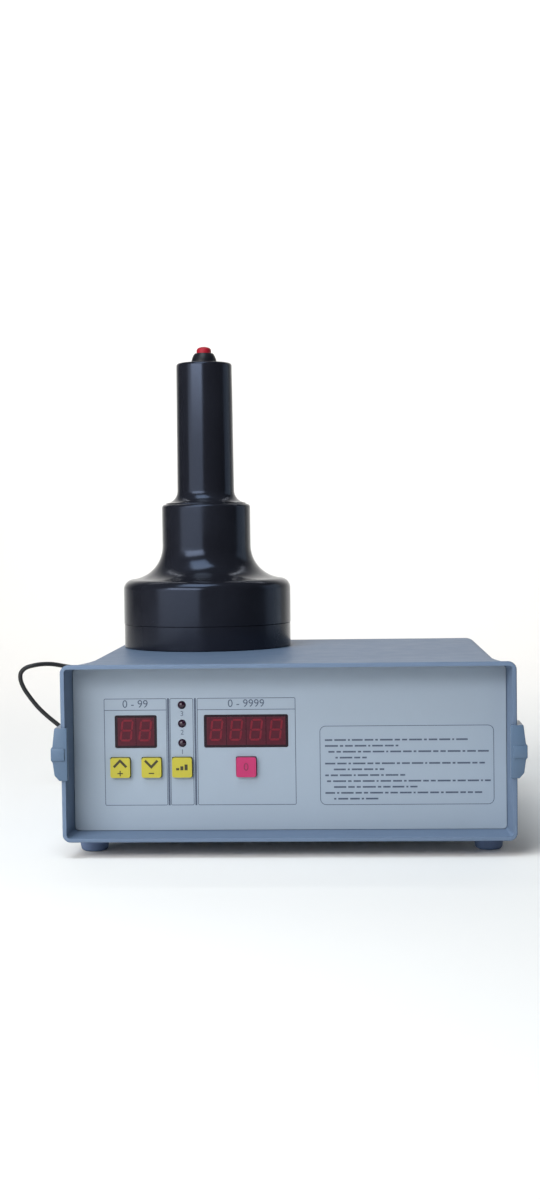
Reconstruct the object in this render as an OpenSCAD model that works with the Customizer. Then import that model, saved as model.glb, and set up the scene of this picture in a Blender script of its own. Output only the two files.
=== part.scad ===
// Bench induction cap sealer: a moulded instrument case with a hand-held sealing head resting on its lid.
// Millimetres, +Z up, front towards -Y, origin on the standing surface under the middle of the case.

/* [Case] */
// Width over the front rim
rim_w = 275; // [265:1:300]
// Height of the front rim
rim_h = 108; // [106:1:116]
// Depth from the front rim to the rear edge
case_d = 262; // [258:1:300]
// Gap between the standing surface and the rim
foot_h = 10; // [8:0.5:12]
// Thickness of the moulded walls
wall = 2.5; // [2.2:0.1:3]
// How far the sides draw in behind the rim
side_inset = 4.5; // [3:0.5:6]
// How far the top and bottom draw in behind the rim
top_inset = 3; // [2:0.5:4]
// Length over which the case flares out to the rim
flare_len = 90; // [70:1:120]
// Corner radius of the front rim
rim_r = 5; // [4:0.5:7]
// Corner radius of the body behind the rim
body_r = 8; // [6:0.5:10]
// Depth of the front panel behind the rim
recess = 20; // [16:1:24]

/* [Front panel] */
// Height of the middle of the displays
display_z = 75.1; // [74:0.1:77]
// Width of the two-digit window
time_w = 26; // [25:0.1:27]
// Width of the four-digit window
count_w = 51.8; // [50.5:0.1:52]
// Height of both windows
window_h = 20.3; // [19.5:0.1:21]
// Height of the row of keys
key_z = 53; // [51:0.5:55]
// Width of a square key cap
key_w = 12.2; // [11:0.1:13]
// Travel of a key
key_travel = 0.3; // [0.2:0.05:0.4]
// Diameter of an indicator lamp
lamp_dia = 5; // [4:0.5:5]

/* [Sealing head] */
// Diameter of the base
head_dia = 119.4; // [116:0.2:121]
// Height of the straight wall of the base
head_wall_h = 41.7; // [39:0.1:44]
// Diameter of the collar under the grip
collar_dia = 63.2; // [61:0.2:65]
// Height of the top of the collar above the lid
collar_top = 102; // [100:1:106]
// Height of the end of the grip above the lid
grip_top = 202.5; // [196:0.5:210]
// Diameter of the grip at its end
grip_dia = 39.6; // [38:0.2:42]
// Place of the head across the case
head_x = -64; // [-68:1:68]
// Place of the head along the case
head_y = 70; // [60:1:70]

/* [Lead] */
// Diameter of the lead between head and case
lead_dia = 3.4; // [3:0.1:3.8]

/* [Hidden] */
$fn = 48;

case_blue = [0.60, 0.66, 0.73];
foot_navy = [0.16, 0.19, 0.27];
head_black = [0.11, 0.12, 0.16];
filter_red = [0.36, 0.10, 0.16];
board_green = [0.10, 0.36, 0.22];
steel = [0.72, 0.74, 0.76];
lead_black = [0.06, 0.06, 0.07];

// Case planes
y_front = -case_d / 2;
y_rear = case_d / 2;
z_mid = foot_h + rim_h / 2;
lid_z = foot_h + rim_h - top_inset;
floor_z = foot_h + top_inset + wall;
fit = 0.05;
hole_play = 0.1;

// Moulded shell stations
lip_r = 0.8;
bead_d = 3.6;
bead_step = 0.22;
flare_power = 1.6;
parting_groove = 0.4;
rib_h = 4;
rib_t = 2.5;
rib_draft = 0.4;
rib_offset = 0.3;
recess_r = 2;
corner_steps = 5;

// Panels
panel_t = 2.5;
panel_gap = 0.15;
panel_y = y_front + recess;
panel_back = panel_y + panel_t;
rear_recess = 8;
rear_y = y_rear - rear_recess;
rear_in = rear_y - panel_t;

// Feet
foot_x = 122.5;
foot_in = 31;
foot_y = case_d / 2 - foot_in;
pad_z = 6;
pad_r = 9.2;
rear_pad_top = floor_z + 1.5;
foot_top_r = 9;
foot_r = 8.5;
foot_edge = 2.4;
foot_well_gap = 0.3;
foot_screw_r = 1.5;
foot_head_r = 3;
screw_head_h = 1.8;
foot_boss_r = 5;
foot_boss_top = 27;

// Clips
clip_h = 32;
clip_reach = 24;
clip_web = 1.8;
clip_hook = 3;
clip_hook_t = 1.1;
clip_gap = 0.4;
clip_band = 7.5;
clip_outline = [
    [0, 16], [3.6, 16], [5, 4.6], [5.9, 3.75], [5.9, -3.75], [5, -4.6], [3.9, -12.7], [1, -16], [0, -16]
];

// Panel pieces
time_x = -94.2;
count_x = -26.2;
window_r = 1.2;
window_sink = 0.4;
window_flange = 1.2;
window_flange_t = 1;
display_h = 19;
display_inset = 0.4;
display_t = 8;
board_y = panel_back + window_flange_t + display_t;
board_t = 1.6;
board_x = [-116, 8];
board_z = [37, 103];
spacer_r = 3;
spacer_in = 4;
spacer_xz = [
    for (x = board_x, z = board_z)
        [x + sign(mean(board_x) - x) * spacer_in, z + sign(mean(board_z) - z) * spacer_in]
];
m3_r = 1.5;
lamp_x = -65.6;
lamp_z = [91.4, 79.9, 67.9];
lamp_proud = 1.2;
lamp_back = 3;
lamp_rim = 0.4;
lamp_rim_t = 1;
lamp_leg = 0.5;
lamp_leg_x = 1.27;
key_x = [-104, -84.7, -65.8, -26.3];
key_proud = 2.6;
key_r = 1.2;
key_gap = 0.35;
key_skin = 1.6;
key_depth = 6.4;
key_bevel = 1;
stem_r = 3.2;
stem_gap = 0.4;
spacer_thread = 7;
screw_len = 6;
switch_w = 12;
switch_t = 4.2;
switch_floor = 1;

// Rear panel pieces
fan_x = 48;
fan_w = 60;
fan_t = 15;
fan_pitch = 50;
fan_bore = 28.6;
fan_hub = 14.5;
fan_tip_gap = 1;
fan_blades = 7;
fan_screw_r = 1.9;
guard_wire = 0.8;
guard_radii = [8, 14, 20, 26];
guard_tab_r = 5;
guard_tab_t = 1.2;
fan_head_r = 3.4;
fan_head_h = 2;
fan_floor_t = 2.2;
fan_flange_t = 3;
fan_barrel_t = 1;
fan_corner_r = 4;
fan_arm_w = 4;
fan_hub_low = 1.5;
fan_end_gap = 0.6;
vane_twist = 38;
vane_w = 18;
vane_t = 1.2;
fan_pin_r = 1.5;
inlet_x = -36;
inlet_z = 43;
inlet_flange = [31, 24];
inlet_body = [27.4, 19.8];
inlet_cavity = [24, 16];
inlet_flange_t = 2.5;
inlet_flange_r = 5;
inlet_depth = 15;
inlet_back = 2;
inlet_cut = 4;
inlet_pins = [[-7, -1], [0, 3], [7, -1]];
blade_w = 2;
blade_h = 4;
blade_tail = 6;
blade_len = 20.5;
rocker_x = -36;
rocker_z = 83;
rocker_flange = [16, 23];
rocker_body = [13.2, 19.4];
rocker_open = [9.8, 16.2];
rocker_w = 9.2;
rocker_half = 7.1;
rocker_pin_r = 1.2;
rocker_rest = 9;
rocker_flange_t = 2;
rocker_flange_r = 1.5;
rocker_depth = 14;
rocker_well = 9;
rocker_y = rear_y - 1;
rocker_outline = [
    [-4, -3], [-4, 3], [0, rocker_half], [5, rocker_half], [3.4, 0], [5, -rocker_half], [0, -rocker_half]
];
gland_x = -104;
gland_z = 96;
gland_r = 4.9;
gland_len = 24;
gland_nut_r = 7.5;
gland_nut_t = 4;
gland_root_r = 5;
gland_tip = 0.6;

// Inner pieces
power_z = 23;
power_size = [200, 130];
power_c = [0, 5];
board_top = power_z + board_t;
boss_r = 4;
boss_xy = [[-92, -52], [92, -52], [-92, 62], [92, 62]];
vent_count = 14;
vent_pitch = 8;
vent_w = 3;
vent_len = 60;
sink_at = [20, -50];
sink_len = 68;
sink_base_t = 6;
fin_count = 9;
fin_pitch = 7;
fin_t = 2;
fin_h = 34;
transistor = [5.2, 14, 20];
transistor_count = 4;
transistor_pitch = 16;
transistor_in = 4;
transistor_hole = [7, 15];
transistor_hole_r = 1.7;
core_c = [-35, 22];
core = [54, 20, 44];
core_limb = 8;
core_window = 13;
core_yoke = 9;
core_leg = [core.x - 2 * core_limb - 2 * core_window, core.y];
winding_size = [32, 38];
winding_r = 9;
winding_h = 25;
winding_gap = 0.2;
can_x = [-82, -50];
can_y = -32;
can_r = 13;
can_h = 42;
can_groove = [13.6, 37];
can_groove_r = 1.4;
can_end_r = 10;
can_end_d = 0.5;
film_x = [-20, 0];
film_y = -34;
film_size = [16, 40];
film_h = 26;
film_r = 2;

// Head, heights above the lid
base_r = head_dia / 2;
collar_r = collar_dia / 2;
collar_edge = 2.5;
head_wall = 4;
seam_z = 17;
rebate_h = 4;
shoulder_r = 7;
sweep_r = 24;
shoulder_c = [base_r - shoulder_r, head_wall_h];
sweep_x = collar_r + sweep_r;
sweep_c = [sweep_x, head_wall_h + sqrt(pow(shoulder_r + sweep_r, 2) - pow(sweep_x - shoulder_c.x, 2))];
spigot_r = 22;
spigot_z = collar_top - 14;
grip_foot_r = 28.6;
grip_foot_t = 0.8;
grip_fillet = 9;
grip_swell = 0.5;
grip_edge = 2;
grip_bore = 15.5;
grip_end_t = 5;
turn_r = 1.6;
turn_pitch = 3;
turn_first = 14;
turn_last = 50;
turn_low = 1.3;
turn_high = 1.3;
ferrite_bar = [40, 8, 6];
ferrite_count = 6;

// Trigger, heights above the end of the grip
bushing_r = 6;
bushing_top = 2;
switch_r = 9;
switch_len = 24;
switch_wall = 2.5;
button_r = 5.2;
button_low = 4.4;
button_top = 11.8;
button_dome = 10;
button_edge = 2.4;
button_gap = 0.35;
stem_bore = 3;
plunger_r = 2.6;
retainer_r = 4.2;
collar_h = 7;
ogive_base = 9.2;
ogive_r = 14;
ogive_drop = 1;
spring_turns = 6;
spring_r = 3.6;
spring_wire = 0.5;

// Lead and its glands
head_gland_z = 9;
head_gland_len = 18;
head_gland_r = 3.5;
head_flange_r = 5.5;
head_flange_t = 2;
head_root_r = 4.2;
lead_r = lead_dia / 2;
lead_sides = 8;
lead_steps = 2;
coil_c = [-33, 158];
coil_lift = 0.7;
coil_mean = 19;
tie_w = 6;
tie_t = 0.7;
loop_route = [
    [-104, 147, 96], [-104, 158, 96], [-107, 168, 95.5], [-116, 175, 94], [-131, 178, 92], [-150, 177, 90.2],
    [-168, 174, 90.8], [-182, 170, 92.8], [-193.4, 166, 95.2], [-201, 162, 95.7], [-207.4, 159, 95],
    [-213.3, 157, 93.3], [-216.8, 156, 90], [-217.6, 156, 86], [-216.7, 157, 80.9], [-213.2, 158, 73.8],
    [-205.4, 160, 62.8], [-197.3, 161, 54.6], [-190.6, 162, 48.8], [-176, 162, 36], [-161, 162, 22],
    [-146, 161, 10.5], [-130, 158, 4], [-112, 154, 2], [-92, 149, 2], [-72, 143, 2], [-54, 139, 2.2],
    [-33, 137.3, 2.4]
];
riser_route = [
    [-33, 178.7, 9.2], [-42, 178.7, 9.6], [-51, 178.5, 13], [-58, 178.3, 20], [-62, 178, 30],
    [-64, 177.8, 44], [-64, 177.6, 62], [-64, 177.4, 80], [-64, 176.5, 97], [-64, 173, 110],
    [-64, 165, 119.5], [-64, 156, 123.5], [-64, 147.7, 124]
];

// Height of the middle of the floor's wall at a distance behind the rim
function skin_z(d) = foot_h + top_inset * flare(d) + wall / 2;

function mean(v) = (v[0] + v[1]) / 2;

// Share of the draw-in that the outside has reached at a distance behind the rim
function flare(d) =
    d <= bead_d ? 0
    : bead_step + (1 - bead_step) * (1 - pow(max(0, 1 - (d - bead_d) / (flare_len - bead_d)), flare_power));

// The same for the inside, straight as far as the panel
function inner_flare(d) = d < recess ? flare(recess) * d / recess : flare(d);

// Rounding of the front and rear edges, as a step in from the outside
function edge_step(d) = d >= lip_r ? 0 : lip_r - sqrt(pow(lip_r, 2) - pow(lip_r - d, 2));
function lip(d) = edge_step(min(d, case_d - d));

// Half outline of a rounded rectangle, from the right over the top to the left
function arch(w, h, r, n) = [
    for (side = [0, 1], i = [0 : n])
        let (a = 90 * side + 90 * i / n)
            [(side == 0 ? 1 : -1) * (w - r) + r * cos(a), h - r + r * sin(a)]
];

function reversed(list) = [for (i = [len(list) - 1 : -1 : 0]) list[i]];

// Half section of the shell's outside at a distance behind the rim, grooved at the parting line
function outer_half(d) =
    let (
        f = flare(d),
        w = rim_w / 2 - side_inset * f - lip(d),
        h = rim_h / 2 - top_inset * f - lip(d),
        g = parting_groove
    )
    concat(
        [[w - g, 0], [w, g]],
        arch(w, h, rim_r + (body_r - rim_r) * f, corner_steps),
        [[-w, g], [g - w, 0]]
    );

// Half section of its inside, sharper in the front recess, with a rib standing in from the wall
function inner_half(d, rib) =
    let (
        f = inner_flare(d),
        w = rim_w / 2 - wall - side_inset * f - rib,
        h = rim_h / 2 - wall - top_inset * f - rib,
        r = d <= front_rib && rib == 0 ? recess_r : rim_r + (body_r - rim_r) * f - wall / 2,
        g = parting_groove
    )
    concat(
        [[w, 0], [w, g]],
        arch(w, h, r, corner_steps),
        [[-w, g], [-w, 0]]
    );

// Stations of the shell: distance of the outside, distance of the inside, height of the rib there
front_rib = recess + panel_t;
rear_rib = case_d - rear_recess - panel_t;
shell_stations = [
    for (d = [0, lip_r / 4, lip_r, bead_d, bead_d + lip_r, recess * 0.6]) [d, d, 0],
    [front_rib - rib_offset, front_rib, 0], [front_rib + rib_offset, front_rib, rib_h],
    for (s = [[0, rib_h], [rib_draft, 0]]) [front_rib + rib_t + s[0], front_rib + rib_t + s[0], s[1]],
    for (share = [0.4, 0.53, 0.68, 0.84, 1]) [flare_len * share, flare_len * share, 0],
    for (s = [[rib_draft, 0], [0, rib_h]]) [rear_rib - rib_t - s[0], rear_rib - rib_t - s[0], s[1]],
    [rear_rib - rib_offset, rear_rib, rib_h], [rear_rib + rib_offset, rear_rib, 0],
    for (d = [lip_r, lip_r / 4, 0]) [case_d - d, case_d - d, 0]
];

// Skin over rings of points that share one even count, closed across both end rings
module loft(rings, flip = false) {
    n = len(rings[0]);
    m = len(rings);
    skin = [
        for (k = [0 : m - 2], j = [0 : n - 1])
            let (a = k * n + j, b = k * n + (j + 1) % n, c = a + n, d = b + n)
                each [[a, b, d], [a, d, c]]
    ];
    ends = [
        for (j = [0 : n / 2 - 2])
            let (a = j, b = j + 1, c = n - 2 - j, d = n - 1 - j, last = (m - 1) * n)
                each [[c, b, a], [d, c, a], [last + a, last + b, last + c], [last + a, last + c, last + d]]
    ];
    faces = concat(skin, ends);
    polyhedron(
        points = [for (ring = rings) each ring],
        faces = flip ? [for (f = faces) reversed(f)] : faces,
        convexity = 8
    );
}

// Half shell, side is 1 for the upper one and -1 for the lower one
module half_shell(side) {
    loft(
        [
            for (s = shell_stations)
                concat(
                    [for (p = outer_half(s[0])) [p.x, y_front + s[0], z_mid + side * p.y]],
                    reversed([for (p = inner_half(s[1], s[2])) [p.x, y_front + s[1], z_mid + side * p.y]])
                )
        ],
        flip = side < 0
    );
}

// Catmull-Rom points between the points of a route
function spline(p0, p1, p2, p3, t) =
    0.5 * (2 * p1 + (p2 - p0) * t + (2 * p0 - 5 * p1 + 4 * p2 - p3) * t * t
    + (3 * p1 - p0 - 3 * p2 + p3) * t * t * t);
function smooth(route, steps) =
    let (n = len(route) - 1)
    [
        for (i = [0 : n - 1], s = [0 : steps - 1])
            spline(route[max(0, i - 1)], route[i], route[i + 1], route[min(n, i + 2)], s / steps),
        route[n]
    ];

// Ring of points across a route at one of its points
function unit(v) = v / norm(v);
function tube_ring(path, i, r, sides) =
    let (
        n = len(path) - 1,
        t = unit(path[min(n, i + 1)] - path[max(0, i - 1)]),
        u = unit(cross(t, [0.3, 0.75, 0.6])),
        v = cross(t, u)
    )
    [for (k = [0 : sides - 1]) path[i] + r * (cos(360 * k / sides) * v + sin(360 * k / sides) * u)];

module tube(path, r, sides) {
    loft([for (i = [0 : len(path) - 1]) tube_ring(path, i, r, sides)]);
}

// Rounded rectangle about the origin
module plate_outline(size, r) {
    square([size.x - 2 * r, size.y], center = true);
    square([size.x, size.y - 2 * r], center = true);
    for (x = [-1, 1], y = [-1, 1])
        translate([x * (size.x / 2 - r), y * (size.y / 2 - r)])
            circle(r);
}

// Slot with round ends, along Y
module slot(w, length) {
    square([w, length - w], center = true);
    for (end = [-1, 1])
        translate([0, end * (length - w) / 2]) circle(w / 2);
}

// Half of a turned section, with rounded outer corners
module turned(r, h, low, high) {
    square([r - low, low]);
    translate([0, low]) square([r, h - low - high]);
    translate([0, h - high]) square([r - high, high]);
    translate([r - low, low]) circle(low);
    translate([r - high, h - high]) circle(high);
}

// Gives an X-Z outline its thickness, from a depth y rearwards
module standing(y, t) {
    translate([0, y + t, 0])
        rotate([90, 0, 0])
            linear_extrude(t)
                children();
}

// Round rod along Y
module rod(x, z, r, y0, y1) {
    translate([x, y1, z])
        rotate([90, 0, 0])
            cylinder(r = r, h = y1 - y0);
}

module on_head() {
    translate([head_x, head_y, lid_z])
        children();
}

module at_feet() {
    for (x = [-1, 1], y = [-1, 1])
        translate([x * foot_x, y * foot_y, 0])
            children();
}

// Case mouldings

module upper_shell() {
    color(case_blue)
        half_shell(1);
}

module lower_shell() {
    color(case_blue)
        difference() {
            union() {
                half_shell(-1);
                for (end = [-1, 1], x = [-1, 1])
                    translate([x * foot_x, end * foot_y, pad_z])
                        cylinder(r = pad_r, h = (end < 0 ? skin_z(foot_in) : rear_pad_top) - pad_z);
                at_feet()
                    translate([0, 0, floor_z - wall])
                        cylinder(r = foot_boss_r, h = foot_boss_top - floor_z + wall);
                for (p = boss_xy)
                    translate([p.x, p.y, floor_z - wall / 2])
                        cylinder(r = boss_r, h = power_z - floor_z + wall / 2);
            }
            at_feet()
                cylinder(r = foot_screw_r + fit, h = foot_boss_top - wall);
            for (p = boss_xy)
                translate([p.x, p.y, floor_z])
                    cylinder(r = m3_r + fit, h = power_z);
            for (i = [0 : vent_count - 1])
                translate([(i - (vent_count - 1) / 2) * vent_pitch, 0, 0])
                    linear_extrude(floor_z + 1)
                        slot(vent_w, vent_len);
        }
}

module panel_plate(y, d, r) {
    size = [
        rim_w - 2 * (wall + side_inset * inner_flare(d) + panel_gap),
        rim_h - 2 * (wall + top_inset * inner_flare(d) + panel_gap)
    ];
    standing(y, panel_t)
        translate([0, z_mid])
            plate_outline(size, r + panel_gap);
}

module front_panel() {
    color(case_blue)
        difference() {
            panel_plate(panel_y, front_rib, recess_r);
            standing(panel_y - 1, panel_t + 2) {
                for (w = [[time_x, time_w], [count_x, count_w]])
                    translate([w[0], display_z])
                        plate_outline([w[1] + 2 * fit, window_h + 2 * fit], window_r);
                for (x = key_x)
                    translate([x, key_z])
                        plate_outline([key_w + 2 * key_gap, key_w + 2 * key_gap], key_r);
            }
            for (z = lamp_z)
                rod(lamp_x, z, lamp_dia / 2 + fit, panel_y - 1, panel_back + 1);
        }
}

module rear_panel() {
    color(case_blue)
        difference() {
            panel_plate(rear_in, case_d / 2, body_r - wall / 2);
            rod(fan_x, z_mid, fan_bore, rear_in - 1, rear_y + 1);
            for (x = [-1, 1] * fan_pitch / 2, z = [-1, 1] * fan_pitch / 2)
                rod(fan_x + x, z_mid + z, fan_screw_r + hole_play, rear_in - 1, rear_y + 1);
            rod(gland_x, gland_z, gland_r + fit, rear_in - 1, rear_y + 1);
            standing(rear_in - 1, panel_t + 2) {
                translate([inlet_x, inlet_z])
                    square(inlet_body + 2 * [hole_play, hole_play], center = true);
                translate([rocker_x, rocker_z])
                    square(rocker_body + 2 * [hole_play, hole_play], center = true);
            }
        }
}

// Clip over one side edge: x_out is the outside of the wall there, y_edge the edge it hooks over
module side_clip(side, end, x_out, y_edge) {
    color(case_blue)
        translate([side * x_out, y_edge, z_mid])
            scale([side, 1, 1])
                mirror([0, end > 0 ? 1 : 0, 0])
                    difference() {
                        union() {
                            translate([0, clip_reach, 0])
                                rotate([90, 0, 0])
                                    linear_extrude(clip_reach + clip_web)
                                        polygon(clip_outline);
                            translate([-wall - clip_hook_t - clip_gap, -clip_web, -clip_h / 2])
                                cube([wall + clip_hook_t + clip_gap, clip_web + clip_hook, clip_h]);
                            translate([-wall, -clip_web - lip_r, -clip_band / 2])
                                cube([wall + clip_outline[3].x, clip_web, clip_band]);
                        }
                        translate([-wall - clip_gap, 0, -clip_h])
                            cube([wall + clip_gap + fit, clip_hook + 1, 2 * clip_h]);
                    }
}

module left_front_clip() side_clip(-1, -1, rim_w / 2, y_front);
module right_front_clip() side_clip(1, -1, rim_w / 2, y_front);
module left_rear_clip() side_clip(-1, 1, rim_w / 2 - side_inset, y_rear);
module right_rear_clip() side_clip(1, 1, rim_w / 2 - side_inset, y_rear);

module foot(x, y) {
    color(foot_navy)
        translate([x * foot_x, y * foot_y, 0])
            rotate_extrude()
                difference() {
                    union() {
                        square([foot_r - foot_edge, pad_z]);
                        translate([foot_r - foot_edge, foot_edge]) circle(foot_edge);
                        polygon([[0, foot_edge], [foot_r, foot_edge], [foot_top_r, pad_z], [0, pad_z]]);
                    }
                    square([foot_head_r + foot_well_gap, pad_z / 2]);
                    square([foot_screw_r + fit, pad_z]);
                }
}

module front_left_foot() foot(-1, -1);
module front_right_foot() foot(1, -1);
module rear_left_foot() foot(-1, 1);
module rear_right_foot() foot(1, 1);

module foot_screws() {
    color(steel)
        at_feet()
            rotate_extrude() {
                translate([0, pad_z / 2 - screw_head_h]) square([foot_head_r, screw_head_h]);
                translate([0, pad_z / 2]) square([foot_screw_r, foot_boss_top - wall - pad_z / 2 - 1]);
            }
}

// Displays, lamps and keys

module window(x, w) {
    color(filter_red) {
        standing(panel_y + window_sink, panel_t - window_sink)
            translate([x, display_z])
                plate_outline([w, window_h], window_r);
        standing(panel_back, window_flange_t)
            translate([x, display_z])
                square([w + 2 * window_flange, window_h + 2 * window_flange], center = true);
    }
}

module time_window() window(time_x, time_w);
module count_window() window(count_x, count_w);

module display(x, w) {
    color("dimgray")
        standing(board_y - display_t, display_t)
            translate([x, display_z])
                square([w - 2 * display_inset, display_h], center = true);
}

module time_display() display(time_x, time_w);
module count_display() display(count_x, count_w);

module lamp(z) {
    r = lamp_dia / 2;
    length = panel_t + lamp_proud + lamp_back;
    color([0.30, 0.10, 0.20]) {
        translate([lamp_x, panel_back + lamp_back, z])
            rotate([90, 0, 0])
                rotate_extrude()
                    intersection() {
                        square([r + lamp_rim, length]);
                        union() {
                            square([r + lamp_rim, lamp_rim_t]);
                            square([r, length - r]);
                            translate([0, length - r]) circle(r);
                        }
                    }
        for (side = [-1, 1])
            standing(panel_back + lamp_back, board_y - panel_back - lamp_back)
                translate([lamp_x + side * lamp_leg_x, z])
                    square(lamp_leg, center = true);
    }
}

module high_lamp() lamp(lamp_z[0]);
module middle_lamp() lamp(lamp_z[1]);
module low_lamp() lamp(lamp_z[2]);

// Cap with its stem, which pushes the switch behind it
module key(x, tint) {
    front = panel_y - key_proud;
    stem_end = board_y - switch_floor - key_travel - stem_gap;
    color(tint) {
        difference() {
            standing(front, key_depth)
                translate([x, key_z])
                    plate_outline([key_w, key_w], key_r);
            standing(front + key_skin, key_depth)
                translate([x, key_z])
                    square([key_w - 2 * key_skin, key_w - 2 * key_skin], center = true);
            for (side = [0 : 3])
                translate([x, front, key_z])
                    rotate([0, 90 * side, 0])
                        translate([key_w / 2, 0, 0])
                            rotate([0, 0, 45])
                                cube([key_bevel, key_bevel, 2 * key_w], center = true);
        }
        rod(x, key_z, stem_r, front + key_skin, stem_end);
    }
}

module increase_key() key(key_x[0], [0.80, 0.77, 0.25]);
module decrease_key() key(key_x[1], [0.80, 0.77, 0.25]);
module level_key() key(key_x[2], [0.80, 0.77, 0.25]);
module reset_key() key(key_x[3], [0.80, 0.22, 0.45]);

module key_switches() {
    color("black")
        for (x = key_x)
            difference() {
                translate([x - switch_w / 2, board_y - switch_t, key_z - switch_w / 2])
                    cube([switch_w, switch_t, switch_w]);
                rod(x, key_z, stem_r + stem_gap, board_y - switch_t - 1, board_y - switch_floor);
            }
}

module control_board() {
    color(board_green)
        difference() {
            translate([board_x[0], board_y, board_z[0]])
                cube([board_x[1] - board_x[0], board_t, board_z[1] - board_z[0]]);
            for (p = spacer_xz)
                rod(p.x, p.y, m3_r + fit, board_y - 1, board_y + board_t + 1);
        }
}

module board_spacers() {
    color(steel)
        for (p = spacer_xz)
            difference() {
                rod(p.x, p.y, spacer_r, panel_back, board_y);
                rod(p.x, p.y, m3_r + fit, board_y - spacer_thread, board_y + 1);
            }
}

module board_screws() {
    color(steel)
        for (p = spacer_xz) {
            rod(p.x, p.y, m3_r, board_y - screw_len, board_y + board_t);
            rod(p.x, p.y, 2 * m3_r, board_y + board_t, board_y + board_t + screw_head_h);
        }
}

// Power stage

module power_board() {
    color(board_green)
        difference() {
            translate([power_c.x - power_size.x / 2, power_c.y - power_size.y / 2, power_z])
                cube([power_size.x, power_size.y, board_t]);
            for (p = boss_xy)
                translate([p.x, p.y, 0])
                    cylinder(r = m3_r + fit, h = 2 * power_z);
        }
}

module power_board_screws() {
    color(steel)
        for (p = boss_xy)
            translate([p.x, p.y, board_top]) {
                cylinder(r = 2 * m3_r, h = screw_head_h);
                translate([0, 0, -screw_len]) cylinder(r = m3_r, h = screw_len + 1);
            }
}

module heat_sink() {
    color("silver")
        translate([sink_at.x, sink_at.y, board_top])
            rotate([90, 0, 90])
                linear_extrude(sink_len) {
                    square([(fin_count - 1) * fin_pitch + fin_t, sink_base_t]);
                    for (i = [0 : fin_count - 1])
                        translate([i * fin_pitch, 0]) square([fin_t, fin_h]);
                }
}

module power_transistors() {
    color("black")
        for (i = [0 : transistor_count - 1])
            translate([
                sink_at.x - transistor.x,
                sink_at.y + transistor_in + i * transistor_pitch,
                board_top + sink_base_t
            ])
                difference() {
                    cube(transistor);
                    translate([-1, transistor_hole.x, transistor_hole.y])
                        rotate([0, 90, 0])
                            cylinder(r = transistor_hole_r, h = transistor.x + 2);
                }
}

module transformer_core() {
    color("dimgray")
        translate([core_c.x - core.x / 2, core_c.y - core.y / 2, board_top])
            difference() {
                cube(core);
                for (x = [core_limb, core.x - core_limb - core_window])
                    translate([x, -1, core_yoke]) cube([core_window, core.y + 2, core.z - 2 * core_yoke]);
            }
}

module transformer_winding() {
    color("darkgoldenrod")
        translate([core_c.x, core_c.y, board_top + core_yoke])
            difference() {
                linear_extrude(winding_h) plate_outline(winding_size, winding_r);
                translate([0, 0, -1])
                    linear_extrude(winding_h + 2)
                        square(core_leg + 2 * [winding_gap, winding_gap], center = true);
            }
}

module filter_capacitors() {
    color("midnightblue")
        for (x = can_x)
            translate([x, can_y, board_top])
                rotate_extrude()
                    difference() {
                        turned(can_r, can_h, 1, 1.5);
                        translate(can_groove) circle(can_groove_r);
                        translate([0, can_h - can_end_d]) square([can_end_r, 1]);
                    }
}

module resonant_capacitors() {
    color("gold")
        for (x = film_x)
            translate([x, film_y, board_top])
                linear_extrude(film_h)
                    plate_outline(film_size, film_r);
}

// Cooling fan

module at_fan() {
    translate([fan_x, rear_in, z_mid])
        rotate([90, 0, 0])
            children();
}

module at_fan_corners() {
    for (x = [-1, 1], y = [-1, 1])
        translate([x * fan_pitch / 2, y * fan_pitch / 2, 0])
            children();
}

module fan_frame() {
    color("black")
        at_fan() {
            difference() {
                union() {
                    for (z = [0, fan_t - fan_flange_t])
                        translate([0, 0, z])
                            linear_extrude(fan_flange_t)
                                plate_outline([fan_w, fan_w], fan_corner_r);
                    cylinder(r = fan_bore + fan_barrel_t, h = fan_t);
                }
                translate([0, 0, -1]) cylinder(r = fan_bore, h = fan_t + 2);
                at_fan_corners()
                    translate([0, 0, -1]) cylinder(r = fan_screw_r + hole_play, h = fan_t + 2);
            }
            translate([0, 0, fan_t - fan_floor_t]) {
                for (a = [30 : 120 : 270])
                    rotate([0, 0, a])
                        translate([fan_hub - 1, -fan_arm_w / 2, 0])
                            cube([fan_bore - fan_hub + 1 + fan_barrel_t / 2, fan_arm_w, fan_floor_t - 0.2]);
                difference() {
                    cylinder(r = fan_hub, h = fan_floor_t);
                    translate([0, 0, -1]) cylinder(r = fan_pin_r + fit, h = fan_floor_t);
                }
            }
        }
}

module fan_rotor() {
    hub_h = fan_t - fan_floor_t - fan_hub_low - fan_end_gap;
    color([0.12, 0.12, 0.13])
        at_fan() {
            translate([0, 0, fan_hub_low])
                rotate_extrude()
                    turned(fan_hub, hub_h, 1.5, 0.5);
            translate([0, 0, fan_hub_low]) cylinder(r = fan_pin_r, h = hub_h + 1.4);
            intersection() {
                translate([0, 0, fan_hub_low + 0.5])
                    difference() {
                        cylinder(r = fan_bore - fan_tip_gap, h = hub_h - 1);
                        translate([0, 0, -1]) cylinder(r = fan_hub - 1, h = fan_t);
                    }
                for (i = [0 : fan_blades - 1])
                    rotate([0, 0, 360 * i / fan_blades])
                        translate([0, 0, fan_hub_low + hub_h / 2])
                            rotate([vane_twist, 0, 0])
                                translate([0, -vane_w / 2, -vane_t / 2])
                                    cube([fan_bore, vane_w, vane_t]);
            }
        }
}

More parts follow.
